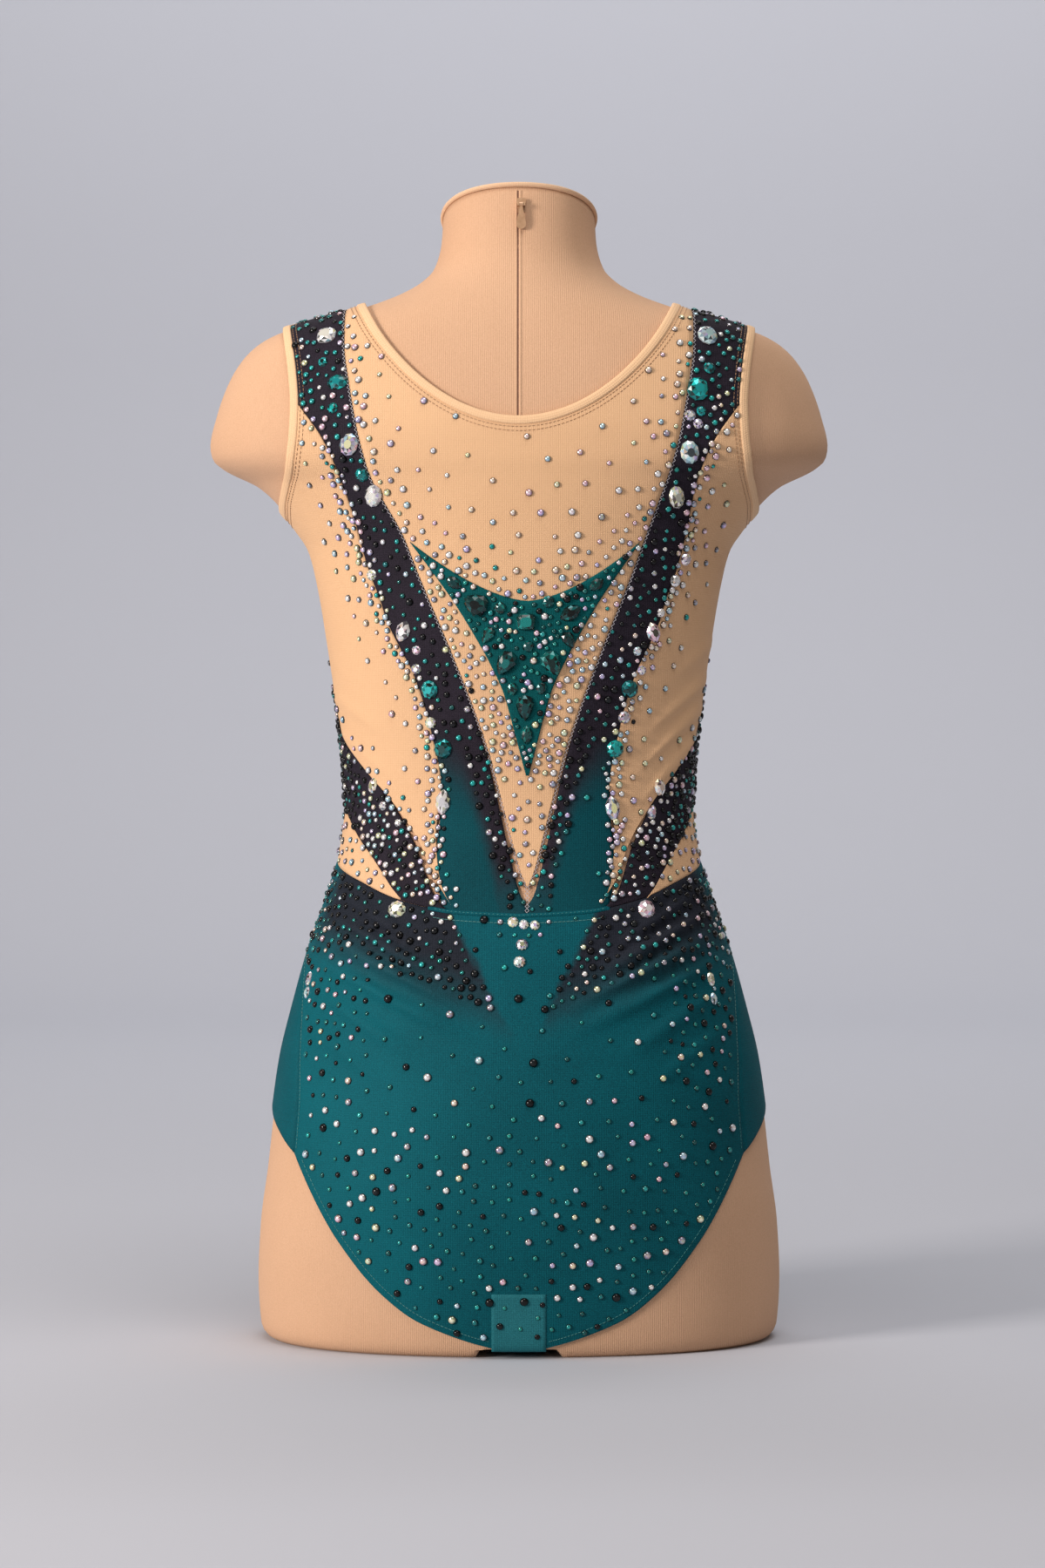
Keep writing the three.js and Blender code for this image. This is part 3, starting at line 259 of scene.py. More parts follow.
# Creases of the right side mesh under the arm, where the bodice leans
meshFolds = [
    (121, 430, 82, 394, 2.6, 1.8),
    (118, 412, 76, 370, 2.6, 1.7),
    (114, 392, 78, 350, 2.8, 1.3),
    (126, 455, 96, 426, 2.6, 1.1),
    (-121, 420, -86, 392, 3.2, 1.0),
    (-116, 396, -84, 366, 3.0, 0.8),
]


# The left hip's folds are deeper and lie a little further in and down
foldLook = {"left": 1.3, "right": 1.1, "leftIn": 3.0, "leftDown": 2.5, "wander": 2.2}


def foldHeight(folds, x, z, mirrored=True):
    total = np.zeros(np.shape(x))
    for fromX, fromZ, toX, toZ, width, height in folds:
        if mirrored:
            share = np.where(x < 0, foldLook["left"], foldLook["right"])
            px = np.abs(x) + np.where(x < 0, foldLook["leftIn"], 0.0)
            pz = z + np.where(x < 0, foldLook["leftDown"], 0.0)
        else:
            share = 1.0
            px = x
            pz = z
        run = np.array([toX - fromX, toZ - fromZ], float)
        length = np.dot(run, run)
        along = ((px - fromX) * run[0] + (pz - fromZ) * run[1]) / length
        bend = foldLook["wander"] * np.sin(along * 5 + fromZ)
        away = np.abs((px - fromX) * run[1] - (pz - fromZ) * run[0]) / math.sqrt(length) + bend * 0.3
        fade = smooth(along, -0.15, 0.25) * (1 - smooth(along, 0.55, 1.12))
        total = total + share * height * fade * np.exp(-((away / width) ** 2))
    return total


def clothPoint(turn, z, raised):
    lift = shoulderLift["by"] * smooth(z, shoulderLift["low"], shoulderLift["high"])
    out = clothGap + lift + raised
    return bodyPoint(turn, z) + bodyNormal(turn, z) * np.asarray(out)[..., None]


# Mesh and object helpers

def finish(obj, material, smoothShade=True):
    obj.data.materials.clear()
    obj.data.materials.append(material)
    for polygon in obj.data.polygons:
        polygon.use_smooth = smoothShade
    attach(obj, bodyName)
    return obj


def linked(name, data):
    obj = bpy.data.objects.new(name, data)
    bpy.context.scene.collection.objects.link(obj)
    return obj


def meshFrom(name, bm):
    mesh = bpy.data.meshes.new(name)
    bm.to_mesh(mesh)
    bm.free()
    return mesh


def newObject(name, bm, material):
    return finish(linked(name, meshFrom(name, bm)), material)


def mappedGrid(columns, rows, place, uvPlace, closeAcross=False, closeAlong=False):
    # place(u, v) gives points in mm, and uvPlace(u, v) the pattern's place in mm
    bm = bmesh.new()
    bmesh.ops.create_grid(bm, x_segments=columns, y_segments=rows, size=0.5, calc_uvs=True)
    bm.verts.ensure_lookup_table()
    flat = np.array([vert.co[:] for vert in bm.verts])
    u = flat[:, 0] + 0.5
    v = flat[:, 1] + 0.5
    points = place(u, v)
    layer = bm.loops.layers.uv.verify()
    pattern = uvPlace(u, v)
    for face in bm.faces:
        for loop in face.loops:
            i = loop.vert.index
            loop[layer].uv = (pattern[0][i] * mm, pattern[1][i] * mm)
    across = bm.verts.layers.float.new("across")
    along = bm.verts.layers.float.new("along")
    for i, vert in enumerate(bm.verts):
        vert.co = (points[i, 0] * mm, (points[i, 1] + shiftY) * mm, points[i, 2] * mm)
        vert[across] = u[i]
        vert[along] = v[i]
    if closeAcross or closeAlong:
        bmesh.ops.remove_doubles(bm, verts=bm.verts, dist=1e-6)
    bmesh.ops.dissolve_degenerate(bm, dist=1e-6, edges=bm.edges)
    return bm


def thicken(bm, normals, thick):
    # Turns a mapped grid into a shell, with its inner side a thickness below, against the body's normal
    grown = bmesh.ops.extrude_face_region(bm, geom=bm.faces[:])["geom"]
    inner = [item for item in grown if isinstance(item, bmesh.types.BMVert)]
    across = bm.verts.layers.float["across"]
    along = bm.verts.layers.float["along"]
    way = normals(np.array([vert[across] for vert in inner]), np.array([vert[along] for vert in inner]))
    for vert, outward in zip(inner, way):
        vert.co -= Vector(outward) * thick * mm
    bmesh.ops.recalc_face_normals(bm, faces=bm.faces)


def facingOut(bm):
    # Turns the faces round if most of them look inwards
    score = 0
    for face in list(bm.faces)[:: max(1, len(bm.faces) // 400)]:
        middle = face.calc_center_median()
        score += face.normal.dot(Vector((middle.x, middle.y * 1.6, 0.001)))
    if score < 0:
        bmesh.ops.reverse_faces(bm, faces=bm.faces)


# Materials

def linear(hexColour):
    values = [int(hexColour[i:i + 2], 16) / 255 for i in (1, 3, 5)]
    return tuple(v / 12.92 if v <= 0.04045 else ((v + 0.055) / 1.055) ** 2.4 for v in values) + (1.0,)


def newMaterial(name):
    material = bpy.data.materials.new(name)
    material.use_nodes = True
    material.node_tree.nodes.clear()
    return material, material.node_tree


def addNode(tree, kind, inputs=None, **settings):
    # inputs holds a value or another node's output for each socket
    node = tree.nodes.new(kind)
    for key, value in settings.items():
        setattr(node, key, value)
    for key, value in (inputs or {}).items():
        if isinstance(value, bpy.types.NodeSocket):
            tree.links.new(value, node.inputs[key])
        else:
            node.inputs[key].default_value = value
    return node


def mathNode(tree, operation, a, b=0.0, clamped=False):
    return addNode(tree, "ShaderNodeMath", {0: a, 1: b}, operation=operation, use_clamp=clamped).outputs[0]


def plus(tree, a, b):
    return mathNode(tree, "ADD", a, b)


def minus(tree, a, b):
    return mathNode(tree, "SUBTRACT", a, b)


def times(tree, a, b):
    return mathNode(tree, "MULTIPLY", a, b)


def mixColour(tree, factor, a, b):
    node = addNode(tree, "ShaderNodeMix", {"Factor": factor}, data_type="RGBA")
    for index, value in ((6, a), (7, b)):
        if isinstance(value, bpy.types.NodeSocket):
            tree.links.new(value, node.inputs[index])
        else:
            node.inputs[index].default_value = value
    return node.outputs[2]


def smoothStepNode(tree, value, low, high):
    node = addNode(tree, "ShaderNodeMapRange", {"Value": value, "From Min": low, "From Max": high},
                   interpolation_type="SMOOTHSTEP")
    return node.outputs["Result"]


def finishMaterial(tree, settings, colour, bump=None):
    shader = addNode(tree, "ShaderNodeBsdfPrincipled", settings)
    if isinstance(colour, bpy.types.NodeSocket):
        tree.links.new(colour, shader.inputs["Base Color"])
    else:
        shader.inputs["Base Color"].default_value = colour
    if bump is not None:
        tree.links.new(bump, shader.inputs["Normal"])
    output = addNode(tree, "ShaderNodeOutputMaterial")
    tree.links.new(shader.outputs[0], output.inputs["Surface"])


def noiseNode(tree, vector, scale, detail=2.0):
    return addNode(tree, "ShaderNodeTexNoise", {"Vector": vector, "Scale": scale, "Detail": detail})


def bandsNode(tree, vector, axis, pitch):
    # Ribs or courses a pitch apart, in metres: Blender's band is a tenth of a turn of its scale
    return addNode(tree, "ShaderNodeTexWave", {"Vector": vector, "Scale": math.pi / 10 / pitch},
                   wave_type="BANDS", bands_direction=axis, wave_profile="SIN").outputs["Fac"]


def knitMaterial(name, low, high, look, tint=None):
    # Stretch knit: ribs along the cloth, fainter courses across, fibre grain and slow colour drift
    material, tree = newMaterial(name)
    coords = addNode(tree, "ShaderNodeTexCoord")
    wander = noiseNode(tree, coords.outputs["UV"], 60.0)
    shifted = addNode(tree, "ShaderNodeVectorMath",
                      {0: wander.outputs["Color"], 1: (look["wander"],) * 3}, operation="MULTIPLY").outputs[0]
    place = addNode(tree, "ShaderNodeVectorMath", {0: coords.outputs["UV"], 1: shifted}).outputs[0]
    ribs = bandsNode(tree, place, "X", look["rib"])
    courses = bandsNode(tree, place, "Y", look["course"])
    weave = plus(tree, times(tree, ribs, 1 - look["courseShare"]), times(tree, courses, look["courseShare"]))
    grain = noiseNode(tree, coords.outputs["Object"], 1400.0, 3.0).outputs["Fac"]
    drift = noiseNode(tree, coords.outputs["Object"], 16.0, 4.0).outputs["Fac"]
    speckle = plus(tree, times(tree, grain, look["grainShow"]), times(tree, drift, look["driftShow"]))
    tone = plus(tree, times(tree, weave, look["weaveShow"]), speckle)
    middle = (look["weaveShow"] + look["grainShow"] + look["driftShow"]) / 2
    tone = mathNode(tree, "ADD", minus(tree, tone, middle), 0.5, clamped=True)
    colour = mixColour(tree, tone, linear(low), linear(high))
    if tint is not None:
        colour = tint(tree, coords, colour, tone)
    relief = plus(tree, weave, times(tree, grain, 0.5))
    bump = addNode(tree, "ShaderNodeBump",
                   {"Height": relief, "Strength": look["bump"], "Distance": look["depth"]}).outputs[0]
    settings = {"Roughness": look["roughness"], "Sheen Weight": look["sheen"], "Sheen Roughness": 0.5,
                "Specular IOR Level": look["specular"], "IOR": 1.5}
    finishMaterial(tree, settings, colour, bump)
    return material


# Cotton jersey over foam: fine vertical ribs, matt and warm. The real rib is 1 mm, drawn as 1.3 to show
jerseyLook = {"rib": 0.0013, "course": 0.0021, "courseShare": 0.08, "wander": 0.0008, "weaveShow": 0.13,
              "grainShow": 1.2, "driftShow": 0.45, "bump": 0.35, "depth": 0.0004, "roughness": 0.88,
              "sheen": 0.04, "specular": 0.2}
# Power mesh in skin colour: a soft even grid, drawn at 1.2 mm, barely shining
meshLook = {"rib": 0.0012, "course": 0.0012, "courseShare": 0.3, "wander": 0.0003, "weaveShow": 0.4,
            "grainShow": 0.45, "driftShow": 0.3, "bump": 0.4, "depth": 0.0003, "roughness": 0.76,
            "sheen": 0.04, "specular": 0.25}
# Nylon lycra: smooth satin knit that deepens its folds with a soft shine
lycraLook = {"rib": 0.0011, "course": 0.0014, "courseShare": 0.35, "wander": 0.0005, "weaveShow": 0.28,
             "grainShow": 1.7, "driftShow": 0.8, "bump": 0.45, "depth": 0.0003, "roughness": 0.7,
             "sheen": 0.0, "specular": 0.1}
# The same mesh folded double over the edges
bindingLook = {"rib": 0.0011, "course": 0.0011, "courseShare": 0.5, "wander": 0.0002, "weaveShow": 0.4,
               "grainShow": 0.4, "driftShow": 0.3, "bump": 0.5, "depth": 0.0003, "roughness": 0.74,
               "sheen": 0.04, "specular": 0.25}

tealLow = "#013d47"
tealHigh = "#055e6a"
wornMiddle = 0.003  # the leaning bodice's centre line, in metres


def axisParts(tree, coords):
    # Gives the distance from the worn centre line, and X, Y and Z themselves
    parts = addNode(tree, "ShaderNodeSeparateXYZ", {0: coords.outputs["Object"]}).outputs
    across = mathNode(tree, "ABSOLUTE", minus(tree, parts["X"], wornMiddle))
    return across, parts


def roughEdge(tree, coords, amount):
    noise = noiseNode(tree, coords.outputs["Object"], 90.0, 5.0).outputs["Fac"]
    return times(tree, minus(tree, noise, 0.5), amount)


def bandOmbre(tree, coords, colour, tone):
    # The charcoal bands turn teal at the foot, away from the V's edge
    across, parts = axisParts(tree, coords)
    height = parts["Z"]
    slant = times(tree, minus(tree, height, 0.292), 0.27)
    inside = minus(tree, plus(tree, across, roughEdge(tree, coords, 0.008)), slant)
    beside = smoothStepNode(tree, inside, 0.009, 0.021)
    level = minus(tree, plus(tree, height, roughEdge(tree, coords, 0.03)), inside)
    low = smoothStepNode(tree, level, 0.372, 0.312)
    foot = times(tree, smoothStepNode(tree, height, 0.312, 0.284), 0.8)
    share = mathNode(tree, "MAXIMUM", times(tree, beside, low), foot)
    teal = mixColour(tree, tone, linear("#01363f"), linear("#044c56"))
    return mixColour(tree, share, colour, teal)


def briefOmbre(tree, coords, colour, tone):
    # Charcoal wedges run on below the waist seam and fade into the teal; the left gets painted light, a
    # brighter teal where the key light falls
    across, parts = axisParts(tree, coords)
    height = parts["Z"]
    ragged = roughEdge(tree, coords, 0.012)
    # each edge is a straight line in across and height
    innerSlant = times(tree, minus(tree, height, 0.225), 0.5)
    innerLine = plus(tree, 0.018, innerSlant)
    inner = minus(tree, plus(tree, across, ragged), innerLine)
    outerLine = plus(tree, 0.2185, times(tree, across, 0.36))
    outer = minus(tree, plus(tree, height, ragged), outerLine)
    beside = smoothStepNode(tree, inner, -0.002, 0.004)
    above = smoothStepNode(tree, outer, -0.028, 0.016)
    back = smoothStepNode(tree, parts["Y"], -0.006, -0.034)
    share = times(tree, times(tree, beside, above), back)
    dark = mixColour(tree, tone, linear("#14121a"), linear("#2c2733"))
    # painted light: the left of the brief is mixed toward a brighter teal, where the key light falls
    left = smoothStepNode(tree, parts["X"], 0.02, -0.14)
    paintedLeftLight = mixColour(tree, times(tree, left, 0.3), colour, linear("#056773"))
    return mixColour(tree, times(tree, share, 0.93), paintedLeftLight, dark)


def threadMaterial(name, low, high, roughness=0.55):
    # Twisted polyester thread: slightly shiny, its colour uneven along the stitch
    material, tree = newMaterial(name)
    coords = addNode(tree, "ShaderNodeTexCoord")
    noise = noiseNode(tree, coords.outputs["Object"], 700.0).outputs["Fac"]
    colour = mixColour(tree, noise, linear(low), linear(high))
    finishMaterial(tree, {"Roughness": roughness, "Sheen Weight": 0.3}, colour)
    return material


def stoneMaterial(name, settings, haze):
    # Foiled glass: the colour is the piece's tone attribute, which holds the hues with painted glints on cut
    # facets and painted shade and highlight on domes
    material, tree = newMaterial(name)
    tone = addNode(tree, "ShaderNodeAttribute", attribute_name="tone").outputs["Color"]
    coords = addNode(tree, "ShaderNodeTexCoord")
    noise = noiseNode(tree, coords.outputs["Object"], 900.0).outputs["Fac"]
    colour = mixColour(tree, times(tree, noise, haze), tone, linear("#ffffff"))
    finishMaterial(tree, settings, colour)
    return material


def metalMaterial(name, low, high, roughness):
    # Zinc alloy lacquered in skin colour: a half-metal gleam, rubbed unevenly
    material, tree = newMaterial(name)
    coords = addNode(tree, "ShaderNodeTexCoord")
    wear = noiseNode(tree, coords.outputs["Object"], 350.0, 6.0).outputs["Fac"]
    colour = mixColour(tree, wear, linear(low), linear(high))
    bump = addNode(tree, "ShaderNodeBump", {"Height": wear, "Strength": 0.15, "Distance": 0.0002}).outputs[0]
    finishMaterial(tree, {"Metallic": 0.3, "Roughness": roughness}, colour, bump)
    return material


jersey = knitMaterial("cottonJerseyCover", "#c39b7b", "#dcb393", jerseyLook)
nudeMesh = knitMaterial("skinPowerMesh", "#cfa47c", "#e9c097", meshLook)
nudeBinding = knitMaterial("skinMeshBinding", "#d9ae85", "#f3cfa7", bindingLook)
blackKnit = knitMaterial("charcoalLycra", "#18151c", "#302a36", lycraLook, bandOmbre)
plainBlack = knitMaterial("charcoalLycraPlain", "#18151c", "#302a36", lycraLook)
tealKnit = knitMaterial("tealLycra", tealLow, tealHigh, lycraLook, briefOmbre)
tealFront = knitMaterial("tealLycraFront", tealLow, tealHigh, lycraLook)
kiteCloth = knitMaterial("tealFoilLycra", "#013d41", "#046164", lycraLook)
gussetCloth = knitMaterial("tealCottonLining", "#1a5b64", "#2b7781", lycraLook)
piping = knitMaterial("palePipingTwill", "#d3a884", "#f0cfae", bindingLook)
# the skin thread is drawn darker than the binding, partly its own colour and partly painted shade of the
# stitch holes
threadWithHoleShade = threadMaterial("skinThreadWithPaintedHoleShade", "#8c6442", "#b58a62")
silverThread = threadMaterial("silverLurexThread", "#8d8a95", "#d9d7de", 0.35)
tealThread = threadMaterial("tealThread", "#1d6f70", "#4d9a98")
# the zip tape is dark partly in its own colour and partly as painted shade for the zip's groove
zipTapeWithGrooveShade = threadMaterial("brownZipTapeWithPaintedShade", "#4a2c20", "#7a4b35", 0.8)
zipMetal = metalMaterial("skinLacqueredAlloy", "#a8805f", "#dcb795", 0.34)
crystalGlass = stoneMaterial("auroraCrystal", {"Metallic": 0.5, "Roughness": 0.14, "Coat Weight": 0.6,
                                               "Coat Roughness": 0.05}, 0.03)
tealGlass = stoneMaterial("tealCrystal", {"Metallic": 0.35, "Roughness": 0.14, "Coat Weight": 0.25,
                                          "Coat Roughness": 0.04}, 0.012)
jetGlass = stoneMaterial("jetCrystal", {"Metallic": 0.0, "Roughness": 0.1, "Specular IOR Level": 0.3}, 0.002)
print("materials made")


# Dress form: a fine skin on the same sections, flat under the thighs with the channel between them

formLook = {"around": 260, "up": 220, "channel": 27, "channelHeight": 6, "footRings": 10,
            "footMiddle": -10}


def channelHeight(x):
    side = smooth(np.abs(x), formLook["channel"] + 1, formLook["channel"] - 4)
    return formLook["channelHeight"] * side


def evenHeights():
    steps = np.linspace(0, neckTop, 3000)
    length = np.concatenate([[0], np.cumsum(np.hypot(np.diff(halfWidth(steps)), np.diff(steps)))])
    return steps, length / length[-1]


formSteps, formShares = evenHeights()


def formPlace(u, v):
    turn = lerp(-math.pi, math.pi, u)
    z = np.interp(v, formShares, formSteps)
    x = halfWidth(z) * np.sin(turn)
    return bodyPoint(turn, np.maximum(z, channelHeight(x)))


def formPattern(u, v):
    turn = lerp(-math.pi, math.pi, u)
    z = np.interp(v, formShares, formSteps)
    return arcAt(turn, z), z


def makeForm():
    bm = mappedGrid(formLook["around"], formLook["up"], formPlace, closeAcross=True, uvPlace=formPattern)
    foot = [edge for edge in bm.edges if edge.is_boundary and edge.verts[0].co.z < 0.1]
    centre = Vector((0, (shiftY + formLook["footMiddle"]) * mm, 0))
    for ring in range(formLook["footRings"]):
        grown = bmesh.ops.extrude_edge_only(bm, edges=foot)["geom"]
        verts = [item for item in grown if isinstance(item, bmesh.types.BMVert)]
        share = (formLook["footRings"] - ring - 1) / (formLook["footRings"] - ring)
        for vert in verts:
            vert.co = centre + (vert.co - centre) * max(share, 0.001)
            vert.co.z = float(channelHeight(vert.co.x / mm)) * mm
        foot = [item for item in grown if isinstance(item, bmesh.types.BMEdge) and item.is_boundary]
    bmesh.ops.remove_doubles(bm, verts=bm.verts, dist=6e-5)
    rim = [edge for edge in bm.edges if edge.is_boundary]
    bmesh.ops.holes_fill(bm, edges=rim, sides=0)
    bmesh.ops.recalc_face_normals(bm, faces=bm.faces)
    return newObject("formCover", bm, jersey)


formCover = makeForm()
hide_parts("dress_form")
print("dress form made")


# Neck cap: a cloth disc with piping round its rim

capLook = {"halfWidth": 49, "depth": 46, "around": 120, "rings": 16, "pipingRadius": 1.5,
           "pipingAround": 160, "pipingRings": 12, "pipingOut": 0.2, "pipingRise": 1.75}
# How far outside the neck's rim and how high the disc lies, from under the rim in to the middle
capProfile = [(-3, 0.4), (-0.4, 0.4), (0.2, 0.9), (0.2, 1.9), (-0.8, 2.6), (-2.2, 2.8), (-10, 2.9),
              (-25, 2.9), (-45.9, 2.9)]


def rimPlace(turn, grow, rise):
    edge = bodyPoint(turn, np.full(np.shape(turn), float(neckTop)))
    grow = np.broadcast_to(grow, np.shape(turn))
    rise = np.broadcast_to(rise, np.shape(turn))
    deep = 1 + grow / capLook["depth"]
    return np.stack([edge[:, 0] * (1 + grow / capLook["halfWidth"]), edge[:, 1] * deep,
                     neckTop + (edge[:, 2] - neckTop) * deep + rise], axis=-1)


def makeCap():
    grows, rises = np.array(capProfile).T

    def place(u, v):
        i = v * (len(grows) - 1)
        ring = np.arange(len(grows))
        return rimPlace(lerp(-math.pi, math.pi, u), np.interp(i, ring, grows), np.interp(i, ring, rises))

    bm = mappedGrid(capLook["around"], capLook["rings"], place, closeAcross=True,
                    uvPlace=lambda u, v: (lerp(-150, 150, u), v * 60))
    bmesh.ops.holes_fill(bm, edges=[edge for edge in bm.edges if edge.is_boundary], sides=0)
    bmesh.ops.recalc_face_normals(bm, faces=bm.faces)
    return newObject("neckCap", bm, piping)


def makePiping():
    def place(u, v):
        around = v * 2 * math.pi
        out = capLook["pipingRadius"] * np.cos(around)
        up = capLook["pipingRadius"] * np.sin(around)
        return rimPlace(lerp(-math.pi, math.pi, u), capLook["pipingOut"] + out, capLook["pipingRise"] + up)

    bm = mappedGrid(capLook["pipingAround"], capLook["pipingRings"], place, closeAcross=True,
                    closeAlong=True, uvPlace=lambda u, v: (u * 310, v * 9))
    bmesh.ops.recalc_face_normals(bm, faces=bm.faces)
    return newObject("neckPiping", bm, piping)


neckCap = makeCap()
neckPiping = makePiping()
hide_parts("neck_cap")
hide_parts("neck_cap")
print("neck cap made")


# Neckline and armhole paths, at a margin outside the opening's edge

panelMargin = bindingWidth - lap


def neckPlace(margin, around):
    edge = neckline["halfWidth"] + margin
    top = shoulderHeight(edge)
    across = np.cos(around)
    low = np.where(across < 0, neckline["frontLow"], neckline["backLow"]) - margin
    z = top - (top - low) * np.abs(across) ** neckline["power"]
    x = edge * np.sin(around)
    return np.where(across < 0, turnAt(x, z, True), turnAt(x, z)), z


def armholeEnds(margin):
    top = crossing(600, 690, lambda z: halfWidth(z) < armholeWidth(z) - margin)
    foot = crossing(500, 580, lambda z: halfWidth(z) > armholeWidth(z) - margin)
    return top, foot


armEnds = {}


def armholePlace(margin, around):
    # margin may differ from point to point, in steps of a hundredth
    margin = np.broadcast_to(np.asarray(margin, float), np.shape(around))
    top = np.zeros(np.shape(around))
    foot = np.zeros(np.shape(around))
    for key in np.unique(np.round(margin, 2)):
        if key not in armEnds:
            armEnds[key] = armholeEnds(key)
        chosen = np.round(margin, 2) == key
        top[chosen], foot[chosen] = armEnds[key]
    z = (top + foot) / 2 + (top - foot) / 2 * np.cos(around)
    x = armholeWidth(z) - margin
    front = np.sin(around) < 0
    return np.where(front, turnAt(x, z, True), turnAt(x, z)), z


def evenly(path):
    # Gives shares of a path that lie evenly along it
    fine = np.linspace(0, 1, 1200)
    turn, z = path(fine)
    points = bodyPoint(turn, z)
    length = np.concatenate([[0], np.cumsum(np.linalg.norm(np.diff(points, axis=0), axis=1))])
    return lambda share: np.interp(share, length / length[-1], fine)


pathShares = {
    "neck": evenly(lambda share: neckPlace(3.0, share * 2 * math.pi)),
    "armhole": evenly(lambda share: armholePlace(3.0, share * 2 * math.pi)),
}
pathPlaces = {"neck": neckPlace, "armhole": armholePlace}


def pathAt(kind, share, margin):
    return pathPlaces[kind](margin, pathShares[kind](share) * 2 * math.pi)


# Panels: each place function gives turn and height from u across and v down

def seamAt(turn):
    return seamHeight(np.degrees(np.abs(turn)))


def armEdge(z):
    return armholeWidth(z) - panelMargin


def outerEdge(z):
    return np.minimum(outerTable(z), armEdge(z))


bandTop = {
    "inner": float(shoulderHeight(innerEdge(strapTop))),
    "outer": crossing(640, 670, lambda z: halfWidth(z) < outerEdge(z)),
}
bandFoot = {"inner": float(seamHeight(0)) + seamGap, "outer": float(seamHeight(21)) + seamGap}
meetHeight = crossing(580, 620, lambda z: outerTable(z) > armEdge(z))
briefTop = float(seamHeight(sideTurn)) - half


def leaned(side, turnDegrees, z):
    turn = turnAt(side * halfWidth(z) * np.sin(np.radians(np.minimum(turnDegrees, 90))), z)
    return turn + side * np.radians(np.maximum(turnDegrees - 90, 0))


def bandPlace(side):
    def place(u, v):
        w = fromShoulder(v)
        inner = lerp(bandTop["inner"], bandFoot["inner"], w)
        outer = lerp(bandTop["outer"], bandFoot["outer"], w)
        level = lerp(inner, outer, u)
        x = lerp(innerEdge(inner) + half, outerEdge(outer) - half, u)
        turn = turnAt(side * np.minimum(x, halfWidth(level)), level)
        z = level + v ** 10 * (seamAt(turn) + seamGap - level)
        return turnAt(side * np.minimum(x, halfWidth(z)), z), z
    return place


def yokePlace(u, v):
    edge = neckline["halfWidth"] + panelMargin
    neckShare = 0.94

    def topPath(share):
        turn, z = neckPlace(panelMargin, np.minimum(share / neckShare, 1) * math.pi / 2)
        out = np.clip((share - neckShare) / (1 - neckShare), 0, 1)
        ridge = lerp(edge, float(innerEdge(strapTop)) - half, out)
        onNeck = share < neckShare
        return np.where(onNeck, turn, math.pi / 2), np.where(onNeck, z, shoulderHeight(ridge))

    shares = evenly(topPath)
    across = np.abs(2 * u - 1)
    topTurn, top = topPath(shares(across))
    edgeZ = lerp(bandTop["inner"], yokeTip["z"], fromShoulder(v))
    fallen = (bandTop["inner"] - edgeZ) / (bandTop["inner"] - yokeTip["z"])
    z = lerp(lerp(top, yokeTip["z"], v), lerp(top, yokeTip["z"], fallen), across ** 2)
    width = np.maximum(innerEdge(z) - half, yokeTip["halfWidth"])
    topShare = np.minimum(halfWidth(top) * np.sin(topTurn) / (innerEdge(top) - half), 1)
    x = np.minimum(lerp(topShare, across, v) * width, halfWidth(z))
    return turnAt(np.sign(2 * u - 1) * x, z), z


def kiteHead(share):
    return kiteTop["z"] + kiteTop["rise"] * share ** kiteTop["power"]


def kitePlace(u, v):
    across = 2 * u - 1
    top = kiteHead(np.abs(across))
    z = lerp(top, kiteFoot, v)
    topShare = across * kiteTop["halfWidth"] / kiteEdge(top)
    x = lerp(np.clip(topShare, -1, 1), across, v) * (kiteEdge(z) - half)
    return turnAt(x, z), z


def sideMeshPlace(side):
    armShare = 0.3
    sideShare = 0.54

    def place(u, v):
        inner = lerp(meetHeight - 0.8, sideMeshFoot, v)
        innerTurn = turnAt(side * (outerEdge(inner) + half), inner)
        foot = armholeEnds(panelMargin)[1]
        onArm = np.clip(v / armShare, 0, 1)
        armZ = lerp(meetHeight - 0.8, foot, 1 - (1 - onArm) ** 1.8)
        armTurn = turnAt(side * np.minimum(armEdge(armZ), halfWidth(armZ)), armZ)
        onSide = np.clip((v - armShare) / (sideShare - armShare), 0, 1)
        sideZ = lerp(foot, float(upperWedge(sideTurn)) + half, onSide)
        sideLine = side * np.radians(lerp(90, sideTurn - seamTurn, smooth(onSide, 0, 0.4)))
        onWedge = np.clip((v - sideShare) / (1 - sideShare), 0, 1)
        wedgeTurn = lerp(sideTurn - seamTurn, wedgeFootTurn, onWedge)
        wedgeZ = upperWedge(wedgeTurn) + half
        stretches = [v <= armShare, v <= sideShare]
        turn = np.select(stretches, [armTurn, sideLine], leaned(side, wedgeTurn, wedgeZ))
        z = np.select(stretches, [armZ, sideZ], wedgeZ)
        return lerp(innerTurn, turn, u), lerp(inner, z, u)
    return place


def sideWedgePlace(side):
    def place(u, v):
        upper = lerp(sideTurn - seamTurn, wedgeFootTurn, v)
        lower = lerp(sideTurn - seamTurn, waistMeshTip, v)
        turn = lerp(upper, lower, u)
        level = lerp(upperWedge(upper) - half, lowerWedge(lower) + half, u)
        z = level + v ** 8 * (seamAt(leaned(side, turn, level)) + seamGap - level)
        return leaned(side, turn, z), z
    return place


def waistMeshPlace(side):
    def place(u, v):
        turn = lerp(sideTurn - seamTurn, waistMeshTip, v)
        upper = lowerWedge(turn) - half
        lower = seamAt(leaned(side, turn, upper)) + seamGap
        z = lerp(upper, np.minimum(lower, upper - 0.1), u)
        return leaned(side, turn, z), z
    return place


